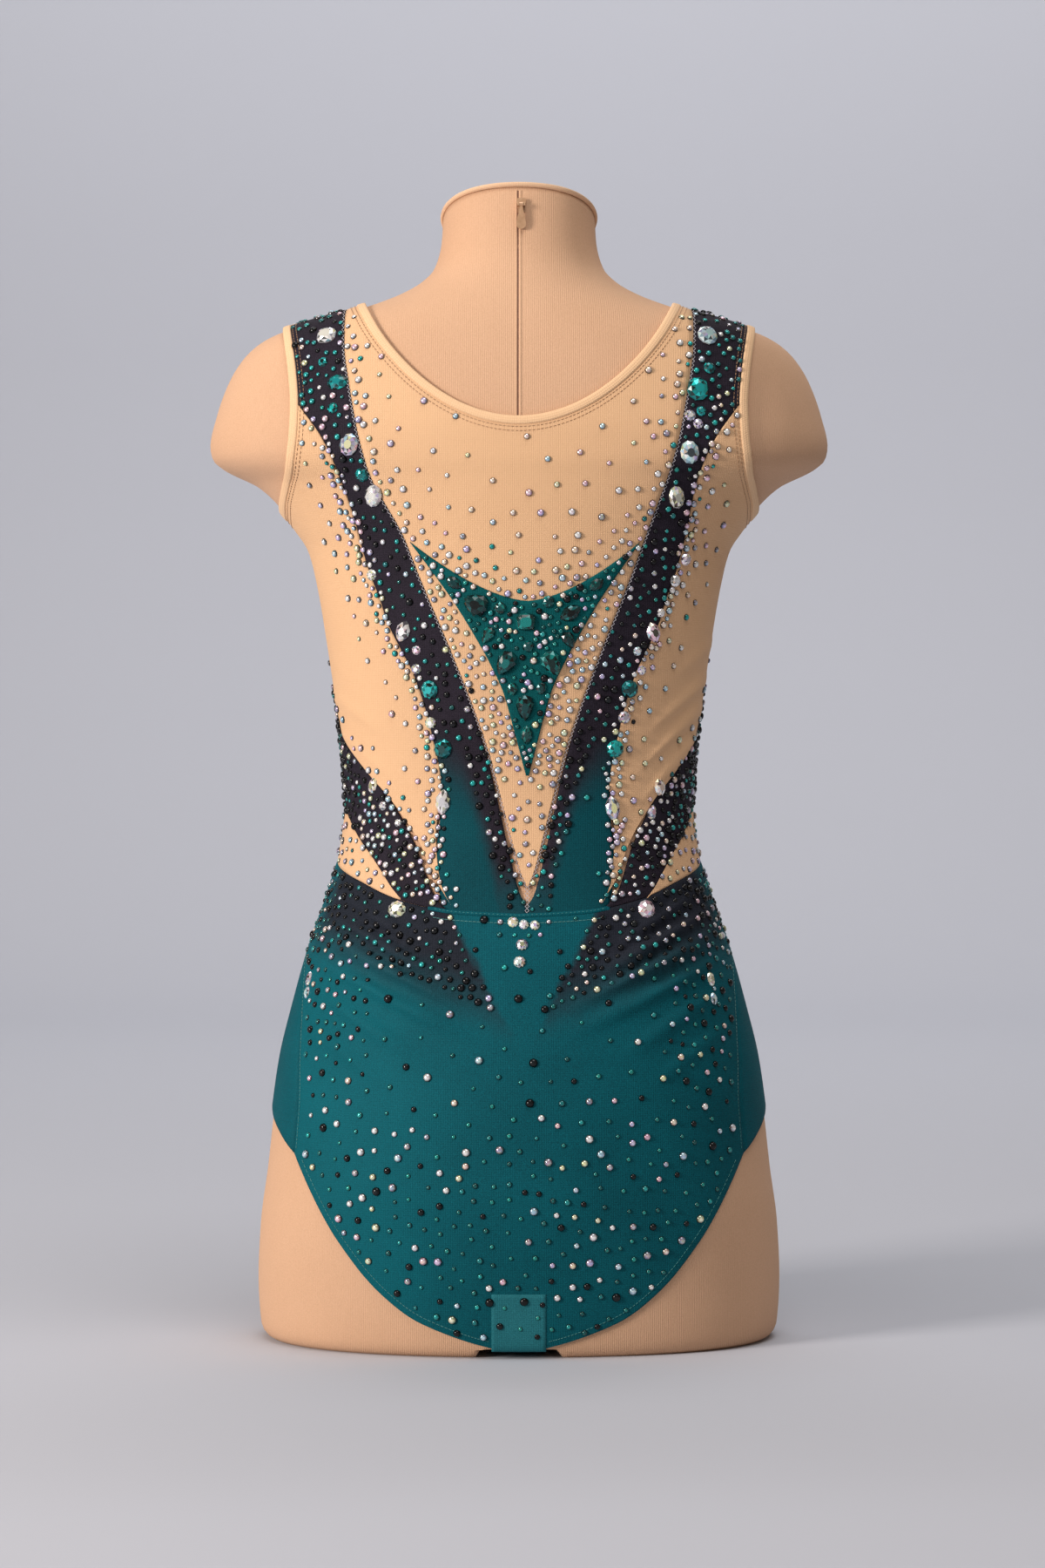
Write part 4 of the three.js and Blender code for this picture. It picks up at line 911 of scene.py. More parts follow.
def briefBackPlace(u, v):
    sideShare = 0.6
    across = 2 * u - 1
    onSide = np.clip(v / sideShare, 0, 1)
    onHem = np.clip((v - sideShare) / (1 - sideShare), 0, 1)
    low = np.where(v <= sideShare, lerp(briefTop, hemTop, onSide),
                   lerp(hemTop, 7, 1 - (1 - onHem) ** 1.7))
    edge = np.where(v <= sideShare, np.radians(sideSeamTurn(low) - seamTurn),
                    np.arcsin(np.clip(hemEdge(low) / halfWidth(low), 0, 1)))
    fall = (1 - onSide) ** 2
    z = low - (seamHeight(sideTurn) - seamHeight(sideTurn * np.abs(across))) * fall
    return edge * across, z


def briefFrontPlace(u, v):
    across = 2 * u - 1
    share = 1 - np.abs(across)
    rowTurn = sideSeamTurn(lerp(briefTop, hemTop, v)) + seamTurn
    even = lerp(rowTurn, 180, share)
    turn = even + (hemTurn(share) - lerp(hemTurn(0), 180, share)) * v
    top = seamHeight(lerp(sideTurn, 180, share)) - half
    z = lerp(top, hemHeight(share), v)
    return np.where(across < 0, -1, 1) * np.radians(turn), z


def frontArmTurn(z):
    return np.degrees(turnAt(armEdge(z), z, True))


chestCorner = crossing(545, 590, lambda z: chestHeight(frontArmTurn(z)) < z)
chestShare = 8 / 11  # of half the bodice's top edge that is the chest seam


def chestPlace(share):
    x = share * armEdge(chestCorner)
    z = chestHeight(np.degrees(turnAt(x, chestCorner, True)))
    return x, z, turnAt(x, z, True)


def frontBodyPlace(u, v):
    across = np.abs(2 * u - 1)
    x, chestZ, chestTurn = chestPlace(np.minimum(across / chestShare, 1))
    corner = float(frontArmTurn(chestCorner))
    armTurn = lerp(corner, sideTurn + seamTurn, np.clip((across - chestShare) / (1 - chestShare), 0, 1))
    armZs = np.linspace(armholeEnds(panelMargin)[1], chestCorner, 400)
    armZ = np.interp(armTurn, frontArmTurn(armZs), armZs)
    onChest = across <= chestShare
    topTurn = np.where(onChest, np.degrees(chestTurn), armTurn)
    top = np.where(onChest, chestZ - half, armZ)
    turn = lerp(topTurn, lerp(180, sideTurn + seamTurn, across), smooth(v, 0, 0.6))
    return np.where(u < 0.5, -1, 1) * np.radians(turn), lerp(top, seamHeight(turn) + half, v)


def frontYokePlace(u, v):
    neckShare = 5 / 8
    across = np.abs(2 * u - 1)

    def path(share):
        return neckPlace(panelMargin, math.pi - share * math.pi / 2)

    neckTurn, neckZ = path(evenly(path)(np.minimum(across / neckShare, 1)))
    shoulderEdge = float(armEdge(armholeEnds(panelMargin)[0]))
    out = np.clip((across - neckShare) / (1 - neckShare), 0, 1)
    ridge = lerp(neckline["halfWidth"] + panelMargin, shoulderEdge, out)
    onNeck = across <= neckShare
    topTurn = np.where(onNeck, neckTurn, math.pi / 2)
    top = np.where(onNeck, neckZ, shoulderHeight(ridge))
    chestX, chestZ, chestTurn = chestPlace(across)
    foot = chestZ + half
    z = lerp(top, foot, lerp(v, v * v, np.minimum(across / neckShare, 1)))
    topShare = np.minimum(halfWidth(top) * np.sin(topTurn) / armEdge(top), 1)
    x = lerp(topShare, chestX / armEdge(foot), v) * armEdge(z)
    turn = np.maximum(turnAt(np.minimum(x, halfWidth(z)), z, True), math.radians(90 + seamTurn))
    return np.where(u < 0.5, -1, 1) * turn, z


def seamDip(u, v, columns, rows, depth, edges):
    # Lets a panel's edges roll down into the seam. edges names which of left, right, top and foot do
    dip = np.zeros(np.shape(u))
    for name, away in (("left", u * columns), ("right", (1 - u) * columns),
                       ("top", v * rows), ("foot", (1 - v) * rows)):
        if name in edges:
            dip = np.maximum(dip, np.exp(-(away / 0.9) ** 2))
    return dip * depth


knitStretch = 1.06  # how far the worn cloth is pulled out, each way
leastFill = 0.32  # the smallest share of its rectangle that a cut fills


def declareCut(obj):
    # The pattern piece laid flat before the knit is stretched: the smallest rectangle that holds it
    corners = np.array([loop.uv[:] for loop in obj.data.uv_layers.active.data]) / knitStretch
    width, length = np.ptp(corners, axis=0)
    for angle in np.radians(np.arange(-45, 46, 3)):
        across = np.ptp(corners @ (math.cos(angle), math.sin(angle)))
        along = np.ptp(corners @ (-math.sin(angle), math.cos(angle)))
        if across * along < width * length:
            width, length = across, along
    shell = sum(polygon.area for polygon in obj.data.polygons) / 2
    area = min(shell / knitStretch ** 2, width * length)
    if area < leastFill * width * length:
        length = area / (leastFill * width)  # a piece with long thin points is given without their ends
    print(obj.name, "cut in mm:", round(width / mm), "by", round(length / mm))


def makePanel(name, nodeName, place, material, look):
    columns, rows = look["columns"], look["rows"]
    folds = look.get("folds")

    def surface(u, v):
        turn, z = place(u, v)
        raised = np.full(np.shape(u), float(look.get("raised", 0.0)))
        if folds:
            raised = raised + foldHeight(folds, halfWidth(z) * np.sin(turn), z, look.get("mirrored", True))
        raised = raised - seamDip(u, v, columns, rows, look.get("dip", 0.45), look["edges"])
        return clothPoint(turn, z, raised + clothThick)

    def pattern(u, v):
        turn, z = place(u, v)
        arc = arcAt(turn, z)
        if look.get("fromFront"):
            arc = arc - np.sign(turn) * arcAt(math.pi, z)
        return arc, z

    bm = mappedGrid(columns, rows, surface, uvPlace=pattern)
    thicken(bm, lambda u, v: bodyNormal(*place(u, v)), clothThick)
    obj = newObject(name, bm, material)
    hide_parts(nodeName)
    declareCut(obj)


panelLooks = {
    "yoke": {"columns": 90, "rows": 110, "edges": ("left", "right")},
    "kite": {"columns": 50, "rows": 50, "raised": clothThick + overlayGap, "dip": 0.6,
             "edges": ("left", "right", "top")},
    "band": {"columns": 24, "rows": 150, "edges": ("left", "right", "foot")},
    "sideMesh": {"columns": 46, "rows": 110, "folds": meshFolds, "mirrored": False,
                 "edges": ("left",)},
    "sideWedge": {"columns": 18, "rows": 60, "edges": ("left", "right", "foot")},
    "waistMesh": {"columns": 14, "rows": 30, "edges": ("left", "right")},
    "briefBack": {"columns": 150, "rows": 130, "folds": hipFolds,
                  "edges": ("left", "right", "top")},
    "briefFront": {"columns": 130, "rows": 80, "edges": ("left", "right", "top"), "fromFront": True},
    "frontBody": {"columns": 110, "rows": 70, "edges": ("left", "right", "top"), "fromFront": True},
    "frontYoke": {"columns": 90, "rows": 50, "edges": ("left", "right", "foot"), "fromFront": True},
}

makePanel("backYoke", "back_yoke", yokePlace, nudeMesh, panelLooks["yoke"])
makePanel("backKite", "back_kite", kitePlace, kiteCloth, panelLooks["kite"])
sidePanels = [
    ("band", "band_", bandPlace, blackKnit),
    ("sideMesh", "side_mesh_", sideMeshPlace, nudeMesh),
    ("sideWedge", "side_wedge_", sideWedgePlace, plainBlack),
    ("waistMesh", "waist_mesh_", waistMeshPlace, nudeMesh),
]
for label, side in (("Left", -1), ("Right", 1)):
    for name, node, place, cloth in sidePanels:
        makePanel(name + label, node + label.lower(), place(side), cloth, panelLooks[name])
makePanel("briefBack", "brief_back", briefBackPlace, tealKnit, panelLooks["briefBack"])
makePanel("briefFront", "brief_front", briefFrontPlace, tealFront, panelLooks["briefFront"])
makePanel("frontBody", "front_body", frontBodyPlace, plainBlack, panelLooks["frontBody"])
makePanel("frontYoke", "front_yoke", frontYokePlace, nudeMesh, panelLooks["frontYoke"])
print("panels made")


# Bindings: folded mesh, round over the edge of the opening

# Lengths and the unfolded width are those of the cut strips
bindingShape = {"around": 260, "section": 12, "rise": 0.85, "middle": 0.95,
                "length": {"neck": 620, "armhole": 345}, "width": 10.5}


def makeBinding(name, nodeName, kind, side=1):
    def place(u, v):
        around = v * 2 * math.pi
        flatten = np.sign(np.cos(around)) * np.abs(np.cos(around)) ** 0.75
        margin = np.round(bindingWidth / 2 - bindingWidth / 2 * flatten, 2)
        turn, z = pathAt(kind, u, margin)
        height = np.sign(np.sin(around)) * np.abs(np.sin(around)) ** 0.6
        raised = bindingShape["middle"] + bindingShape["rise"] * height
        return clothPoint(side * turn, z, raised)

    length = bindingShape["length"][kind]
    bm = mappedGrid(bindingShape["around"], bindingShape["section"], place, closeAcross=True,
                    closeAlong=True, uvPlace=lambda u, v: (u * length, v * 14))
    bmesh.ops.recalc_face_normals(bm, faces=bm.faces)
    obj = newObject(name, bm, nudeBinding)
    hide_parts(nodeName)


makeBinding("neckBinding", "neck_binding", "neck")
makeBinding("armholeBindingLeft", "armhole_binding_left", "armhole", -1)
makeBinding("armholeBindingRight", "armhole_binding_right", "armhole", 1)
print("bindings made")


# Gusset: laid over the brief's foot, under the crotch and up the front

gussetLook = {"halfWidth": 17, "length": 270, "backTop": 42, "frontTop": 52, "thick": 0.8, "fold": 5,
              "low": 4.1, "columns": 16, "rows": 90}


def makeGusset():
    fold = gussetLook["fold"]
    backRun = gussetLook["backTop"] - fold
    frontRun = gussetLook["frontTop"] - fold
    under = float(backDepth(fold) + frontDepth(fold))
    whole = backRun + under + frontRun
    outside = clothGap + clothThick + overlayGap

    def place(u, v):
        run = v * whole
        x = (2 * u - 1) * gussetLook["halfWidth"]
        onBack = run < backRun
        onFront = run > backRun + under
        backZ = np.maximum(gussetLook["backTop"] - run, fold)
        frontZ = np.maximum(fold + run - backRun - under, fold)
        backPoint = clothPoint(turnAt(x, backZ), backZ, clothThick + overlayGap)
        frontPoint = clothPoint(turnAt(x, frontZ, True), frontZ, clothThick + overlayGap)
        along = np.clip((run - backRun) / under, 0, 1)
        backY = bodyPoint(turnAt(x, np.full(np.shape(x), float(fold))), fold)[..., 1] - outside
        frontY = bodyPoint(turnAt(x, np.full(np.shape(x), float(fold)), True), fold)[..., 1] + outside
        inward = np.minimum(along, 1 - along) * under
        dip = fold + (gussetLook["low"] - fold) * smooth(inward, 0, 3)
        beneath = np.stack([x, lerp(backY, frontY, along), dip], axis=-1)
        return np.where(onBack[:, None], backPoint, np.where(onFront[:, None], frontPoint, beneath))

    def outward(u, v):
        run = v * whole
        level = np.full(np.shape(run), float(fold))
        back = bodyNormal(np.zeros(np.shape(run)), level)
        front = bodyNormal(np.full(np.shape(run), math.pi), level)
        down = np.tile([0.0, 0.0, -1.0], (len(run), 1))
        blend = smooth(run, backRun - 1, backRun + 3)[:, None]
        again = smooth(run, backRun + under - 3, backRun + under + 1)[:, None]
        way = lerp(lerp(back, down, blend), front, again)
        return way / np.linalg.norm(way, axis=1, keepdims=True)

    width = 2 * gussetLook["halfWidth"]
    bm = mappedGrid(gussetLook["columns"], gussetLook["rows"], place,
                    uvPlace=lambda u, v: (u * width, v * whole))
    thicken(bm, outward, gussetLook["thick"])
    obj = newObject("gussetStrip", bm, gussetCloth)
    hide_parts("gusset")


makeGusset()
print("gusset made")


# Threads: short raised stitches along a path on the cloth

def threadObject(name, runs, radius, material):
    curve = bpy.data.curves.new(name, "CURVE")
    curve.dimensions = "3D"
    curve.bevel_depth = radius * mm
    curve.bevel_resolution = 0
    curve.use_fill_caps = True
    for run in runs:
        spline = curve.splines.new("POLY")
        spline.points.add(len(run) - 1)
        for point, (x, y, z) in zip(spline.points, run):
            point.co = (x * mm, (y + shiftY) * mm, z * mm, 1)
    holder = bpy.data.objects.new(name + "Path", curve)
    mesh = bpy.data.meshes.new_from_object(holder)
    mesh.name = name
    bpy.data.objects.remove(holder)
    bpy.data.curves.remove(curve)
    finish(linked(name, mesh), material)


def pathLength(path):
    turn, z = path(np.linspace(0, 1, 400))
    return float(np.sum(np.linalg.norm(np.diff(bodyPoint(turn, z), axis=0), axis=1)))


def stitchRuns(path, raised, pitch, duty=0.66, bow=0.16, sway=0.0):
    # path(share) gives turn and height; raised(turn, z) the cloth's outer face; sway makes a zigzag
    length = pathLength(path)
    count = int(length / pitch)
    starts = (np.arange(count) + 0.2) / count
    steps = [0.0, 0.5, 1.0]
    points = []
    for step in steps:
        turn, z = path(starts + step * duty / count)
        lift = raised(turn, z) + bow * (1 - abs(2 * step - 1)) - 0.02
        point = clothPoint(turn, z, lift)
        if sway:
            side = np.where(np.arange(count) % 2 == 0, 1, -1) * sway * (2 * step - 1)
            around = clothPoint(turn + 0.002, z, lift) - clothPoint(turn, z, lift)
            around /= np.linalg.norm(around, axis=1, keepdims=True)
            point = point + around * side[:, None]
        points.append(point)
    return [[points[k][i] for k in range(len(steps))] for i in range(count)]


threadLook = {"pitch": 2.6, "radius": 0.2, "proud": 0.12, "zigzagPitch": 1.5, "zigzag": 0.75,
              "zigzagRadius": 0.17, "neckRows": (6.9, 9.4), "armRows": (6.9, 9.2), "hemRow": 4.5,
              "hemRadius": 0.18, "waistRows": (-0.2, 5.2), "waistTurn": 25}


def clothTop(turn, z):
    return np.full(np.shape(turn), clothThick) + threadLook["proud"]


def hipTop(turn, z):
    return clothTop(turn, z) + foldHeight(hipFolds, halfWidth(z) * np.sin(turn), z)


def backEdgePath(side, offset):
    def path(share):
        z = lerp(float(shoulderHeight(innerEdge(strapTop))) - 3, float(seamHeight(0)) + 2, share)
        return turnAt(side * np.maximum(innerEdge(z) + offset, 0.3), z), z
    return path


def waistPath(offset):
    def path(share):
        turn = math.radians(threadLook["waistTurn"]) * (2 * share - 1)
        return turn, seamAt(turn) + offset
    return path


def hemPath(side):
    def path(share):
        z = lerp(122, 12, 1 - (1 - share) ** 1.7)
        x = np.minimum(hemEdge(z - threadLook["hemRow"] * 0.75), halfWidth(z)) - threadLook["hemRow"] * 0.6
        return side * np.arcsin(np.clip(x / halfWidth(z), 0, 1)), z
    return path


def sideSeamPath(side, offset):
    def path(share):
        z = lerp(300, 128, share)
        return side * np.radians(sideSeamTurn(z) + offset), z
    return path


neckRuns = []
for margin in threadLook["neckRows"]:
    neckRuns += stitchRuns(lambda share: pathAt("neck", share, margin), clothTop, threadLook["pitch"])
for margin in threadLook["armRows"]:
    for side in (-1, 1):
        def armPath(share):
            turn, z = pathAt("armhole", share, np.full(np.shape(share), margin))
            return side * turn, z
        neckRuns += stitchRuns(armPath, clothTop, threadLook["pitch"])
threadObject("openingStitches", neckRuns, threadLook["radius"], threadWithHoleShade)

zigzagRuns = []
for side in (-1, 1):
    zigzagRuns += stitchRuns(backEdgePath(side, 0.6), clothTop, threadLook["zigzagPitch"], 0.98, 0.12,
                             threadLook["zigzag"])
threadObject("bandZigzag", zigzagRuns, threadLook["zigzagRadius"], silverThread)

waistRuns = []
for offset in threadLook["waistRows"]:
    waistRuns += stitchRuns(waistPath(-offset), hipTop, threadLook["pitch"], 0.8)
threadObject("waistStitches", waistRuns, threadLook["radius"], tealThread)

hemRuns = []
for side in (-1, 1):
    hemRuns += stitchRuns(hemPath(side), hipTop, threadLook["pitch"])
    hemRuns += stitchRuns(sideSeamPath(side, -1.2), hipTop, threadLook["pitch"])
threadObject("briefStitches", hemRuns, threadLook["hemRadius"], tealThread)
print("stitches made")


# Rolled waist seam: a low cord of cloth over the join
seamLook = {"radius": 0.6, "across": 1.4, "turn": 27, "foldShare": 0.4, "sink": 0.25}


def makeWaistRoll():
    def place(u, v):
        turn = math.radians(seamLook["turn"]) * (2 * u - 1)
        around = v * 2 * math.pi
        z = seamAt(turn) + seamLook["across"] * np.cos(around)
        folds = foldHeight(hipFolds, halfWidth(z) * np.sin(turn), z) * seamLook["foldShare"]
        ends = np.minimum(1, np.minimum(u, 1 - u) * 20)
        rolled = seamLook["radius"] * np.sin(around) * ends
        return clothPoint(turn, z, clothThick + folds + rolled - seamLook["sink"])

    bm = mappedGrid(180, 10, place, closeAlong=True, uvPlace=lambda u, v: (u * 110, v * 8))
    bmesh.ops.recalc_face_normals(bm, faces=bm.faces)
    newObject("waistRoll", bm, tealFront)


makeWaistRoll()


# Zip of the cover: a dark gap with a ribbed tape at its right, from the rim down to the neckline. The gap's
# brown tape is partly its own colour and partly painted shade in the narrow groove

zipLook = {"top": 726, "foot": 586, "x": -0.6, "halfGap": 0.5, "lipWidth": 1.1, "proud": 0.35, "ribs": 140}


def zipStrip(name, fromX, toX, raised, material, ribs=0.0):
    def place(u, v):
        z = lerp(zipLook["top"], zipLook["foot"], v)
        x = lerp(fromX, toX, u)
        lift = raised * np.sin(u * math.pi) ** 0.6 - clothGap + 0.03
        lift = lift + ribs * np.abs(np.sin(v * zipLook["ribs"] * math.pi)) * np.sin(u * math.pi)
        lifted = shoulderLift["by"] * smooth(z, shoulderLift["low"], shoulderLift["high"])
        return clothPoint(turnAt(x - leanAt(z), z), z, lift - lifted)

    bm = mappedGrid(8, 560, place, uvPlace=lambda u, v: (u * 4, v * 140))
    facingOut(bm)
    newObject(name, bm, material)


gapLeft = zipLook["x"] - zipLook["halfGap"]
gapRight = zipLook["x"] + zipLook["halfGap"]
# the gap's tape is dark partly in its own colour and partly as painted shade in the narrow groove
zipStrip("zipGap", gapLeft, gapRight, 0.05, zipTapeWithGrooveShade)
zipStrip("zipLipRight", gapRight, gapRight + zipLook["lipWidth"] * 2, zipLook["proud"], jersey, 0.12)
zipStrip("zipLipLeft", gapLeft - zipLook["lipWidth"], gapLeft, zipLook["proud"] * 0.7, jersey)
for node in ("zip_slider", "zip_pull"):
    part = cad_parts[node]
    part.data.materials.clear()
    part.data.materials.append(zipMetal)
print("zip made")


# Stones: a girdle, a crown turned half a step and a flat table, all from one template

# Each step is a ring's radius, its height and how far it turns on from the ring below, in sides
cutSteps = [(1.0, 0.25, 0.0), (0.76, 0.7, 0.5), (0.4, 1.0, 0.5)]
domeSteps = [(0.96, 0.34, 0.0), (0.74, 0.74, 0.0), (0.36, 0.97, 0.0)]


def stoneTemplate(sides, steps):
    # The facets come in a fixed order, so that every run draws each one the same tone
    rings = []
    start = math.pi / 2
    for radius, height, turned in [(1.0, 0.0, 0.0)] + steps:
        start += turned * 2 * math.pi / sides
        angles = start + np.arange(sides) * 2 * math.pi / sides
        ring = [radius * np.cos(angles), radius * np.sin(angles), np.full(sides, height)]
        rings.append(np.column_stack(ring))
    faces = []
    for below in range(0, sides * len(steps), sides):
        for i in range(sides):
            a, b = below + i, below + (i + 1) % sides
            c, d = b + sides, a + sides
            faces += [[a, b, d], [b, c, d]] if steps is cutSteps else [[a, b, c, d]]
    table = sides * len(steps)
    faces.append(list(range(table, table + sides)))
    return np.concatenate(rings), faces


outlines = {
    "round": lambda x, y: (x, y),
    "oval": lambda x, y: (x, y),
    "cushion": lambda x, y: (np.sign(x) * np.abs(x) ** 0.62 * 0.93, np.sign(y) * np.abs(y) ** 0.62 * 0.93),
    "marquise": lambda x, y: (x * (1 - 0.42 * np.abs(y) ** 2.2), y),
    "pear": lambda x, y: (x * (0.86 - 0.34 * y), y),
}

hues = {
    "crystal": ["#c4b4ea", "#a4d4ea", "#ffffff", "#f0bcd0", "#dfe8ac", "#878ca0", "#eceff6", "#f6d6bd"],
    "teal": ["#0f9a98", "#0b7478", "#14a8a4", "#0a5a60", "#1f8f90"],
    "deep": ["#05605f", "#087a76", "#034446", "#0c8f86"],
    "kite": ["#02393b", "#045052", "#022a2c", "#0a6a66"],
    "jet": ["#0b0b0d", "#111216", "#14191c"],
}
glasses = {"crystal": crystalGlass, "teal": tealGlass, "deep": tealGlass, "kite": tealGlass, "jet": jetGlass}
# Painted glints and painted shade on a cut stone: how bright its facets are drawn, at random, in place of
# their reflections; coloured glass has more dark ones than clear
paintedFacetLight = [0.06, 0.25, 0.6, 1.0, 1.4, 2.0]
paintedClearFacetLight = [0.12, 0.7, 1.0, 1.3, 1.6, 2.0]
stoneSink = 0.15  # how far a stone's foot sits in the cloth


def makeStones(name, stones, sides, kind, seed, steps):
    # each stone: centre, outward normal, spin, width, height, rise and outline's name
    rng = np.random.default_rng(seed)
    template, faces = stoneTemplate(sides, steps)
    domed = steps is domeSteps
    # painted shade at a dome's foot and a painted highlight on its top
    shade = lerp(0.03, 1.25, smooth(template[:, 2], 0.5, 1.0))  # a dome is dark at its foot, bright on top
    points = []
    polygons = []
    huesWithPaintedLight = []
    palette = np.array([linear(hue)[:3] for hue in hues[kind]])
    paintedCutLight = paintedClearFacetLight if kind == "crystal" else paintedFacetLight
    for count, (centre, normal, spin, width, tall, rise, outline) in enumerate(stones):
        x, y = outlines[outline](template[:, 0], template[:, 1])
        x = x * width / 2
        y = y * tall / 2
        turned = (x * math.cos(spin) - y * math.sin(spin), x * math.sin(spin) + y * math.cos(spin))
        right = np.cross((0, 0, 1), normal)
        right /= max(np.linalg.norm(right), 1e-6)
        up = np.cross(normal, right)
        cloud = centre + turned[0][:, None] * right + turned[1][:, None] * up
        cloud = cloud + (template[:, 2] * rise - stoneSink)[:, None] * normal
        points.append(cloud)
        base = count * len(template)
        main = palette[rng.integers(len(palette))]
        for face in faces:
            polygons.append([index + base for index in face])
            other = palette[rng.integers(len(palette))]
            if domed:
                # domes: the hue times the painted shade and highlight
                hue = lerp(main, other, 0.35)
                huesWithPaintedLight.append(hue[None, :] * shade[face][:, None])
            else:
                # cut stones: each facet's hue times a random painted glint or painted shade
                hue = lerp(main, other, rng.uniform(0, 1)) * rng.choice(paintedCutLight)
                huesWithPaintedLight.append(np.tile(hue, (len(face), 1)))
    cloud = np.concatenate(points)
    cloud[:, 1] += shiftY
    mesh = bpy.data.meshes.new(name)
    mesh.from_pydata((cloud * mm).tolist(), [], polygons)
    # the tone attribute holds the hues with their painted shade, highlights and glints
    layer = mesh.color_attributes.new("tone", "FLOAT_COLOR", "CORNER")
    huesWithPaintedLight = np.clip(np.concatenate(huesWithPaintedLight), 0, 1)
    layer.data.foreach_set("color", np.column_stack([huesWithPaintedLight, np.ones(len(huesWithPaintedLight))]).ravel())
    mesh.update()
    finish(linked(name, mesh), glasses[kind], domed)


def beforeLean(turn, z):
    # distance across and turn in degrees on the upright pattern, before the bodice leans
    x = halfWidth(z) * np.sin(turn)
    x = x - leanAt(z) * np.cos(turn) ** 2
    share = np.clip(np.abs(x) / halfWidth(z), 0, 1)
    return x, np.where(np.abs(turn) < math.pi / 2, np.degrees(np.arcsin(share)), np.degrees(np.abs(turn)))


def regionTop(turn, z):
    # height of the cloth's outer face above the base gap
    x, degrees = beforeLean(turn, z)
    below = z < seamAt(turn)
    worn = halfWidth(z) * np.sin(turn)
    folds = foldHeight(hipFolds, worn, z) * below
    ax = np.abs(x)
    side = ~below & (ax > outerEdge(z)) & (z > upperWedge(degrees))
    folds = folds + foldHeight(meshFolds, worn, z, False) * side
    head = kiteHead(np.clip(ax / kiteTop["halfWidth"], 0, 1))
    onKite = (ax < kiteEdge(z)) & (z > kiteFoot) & (z < head) & (ax < kiteTop["halfWidth"])
    return clothThick + folds + onKite * (clothThick + overlayGap)


def setStone(x, z, width, tall, outline, spin, rise=0.32):
    turn = turnAt(x, z)
    centre = clothPoint(turn, z, regionTop(turn, z))
    return (centre, bodyNormal(turn, z), spin, width, tall, min(width, tall) * rise, outline)


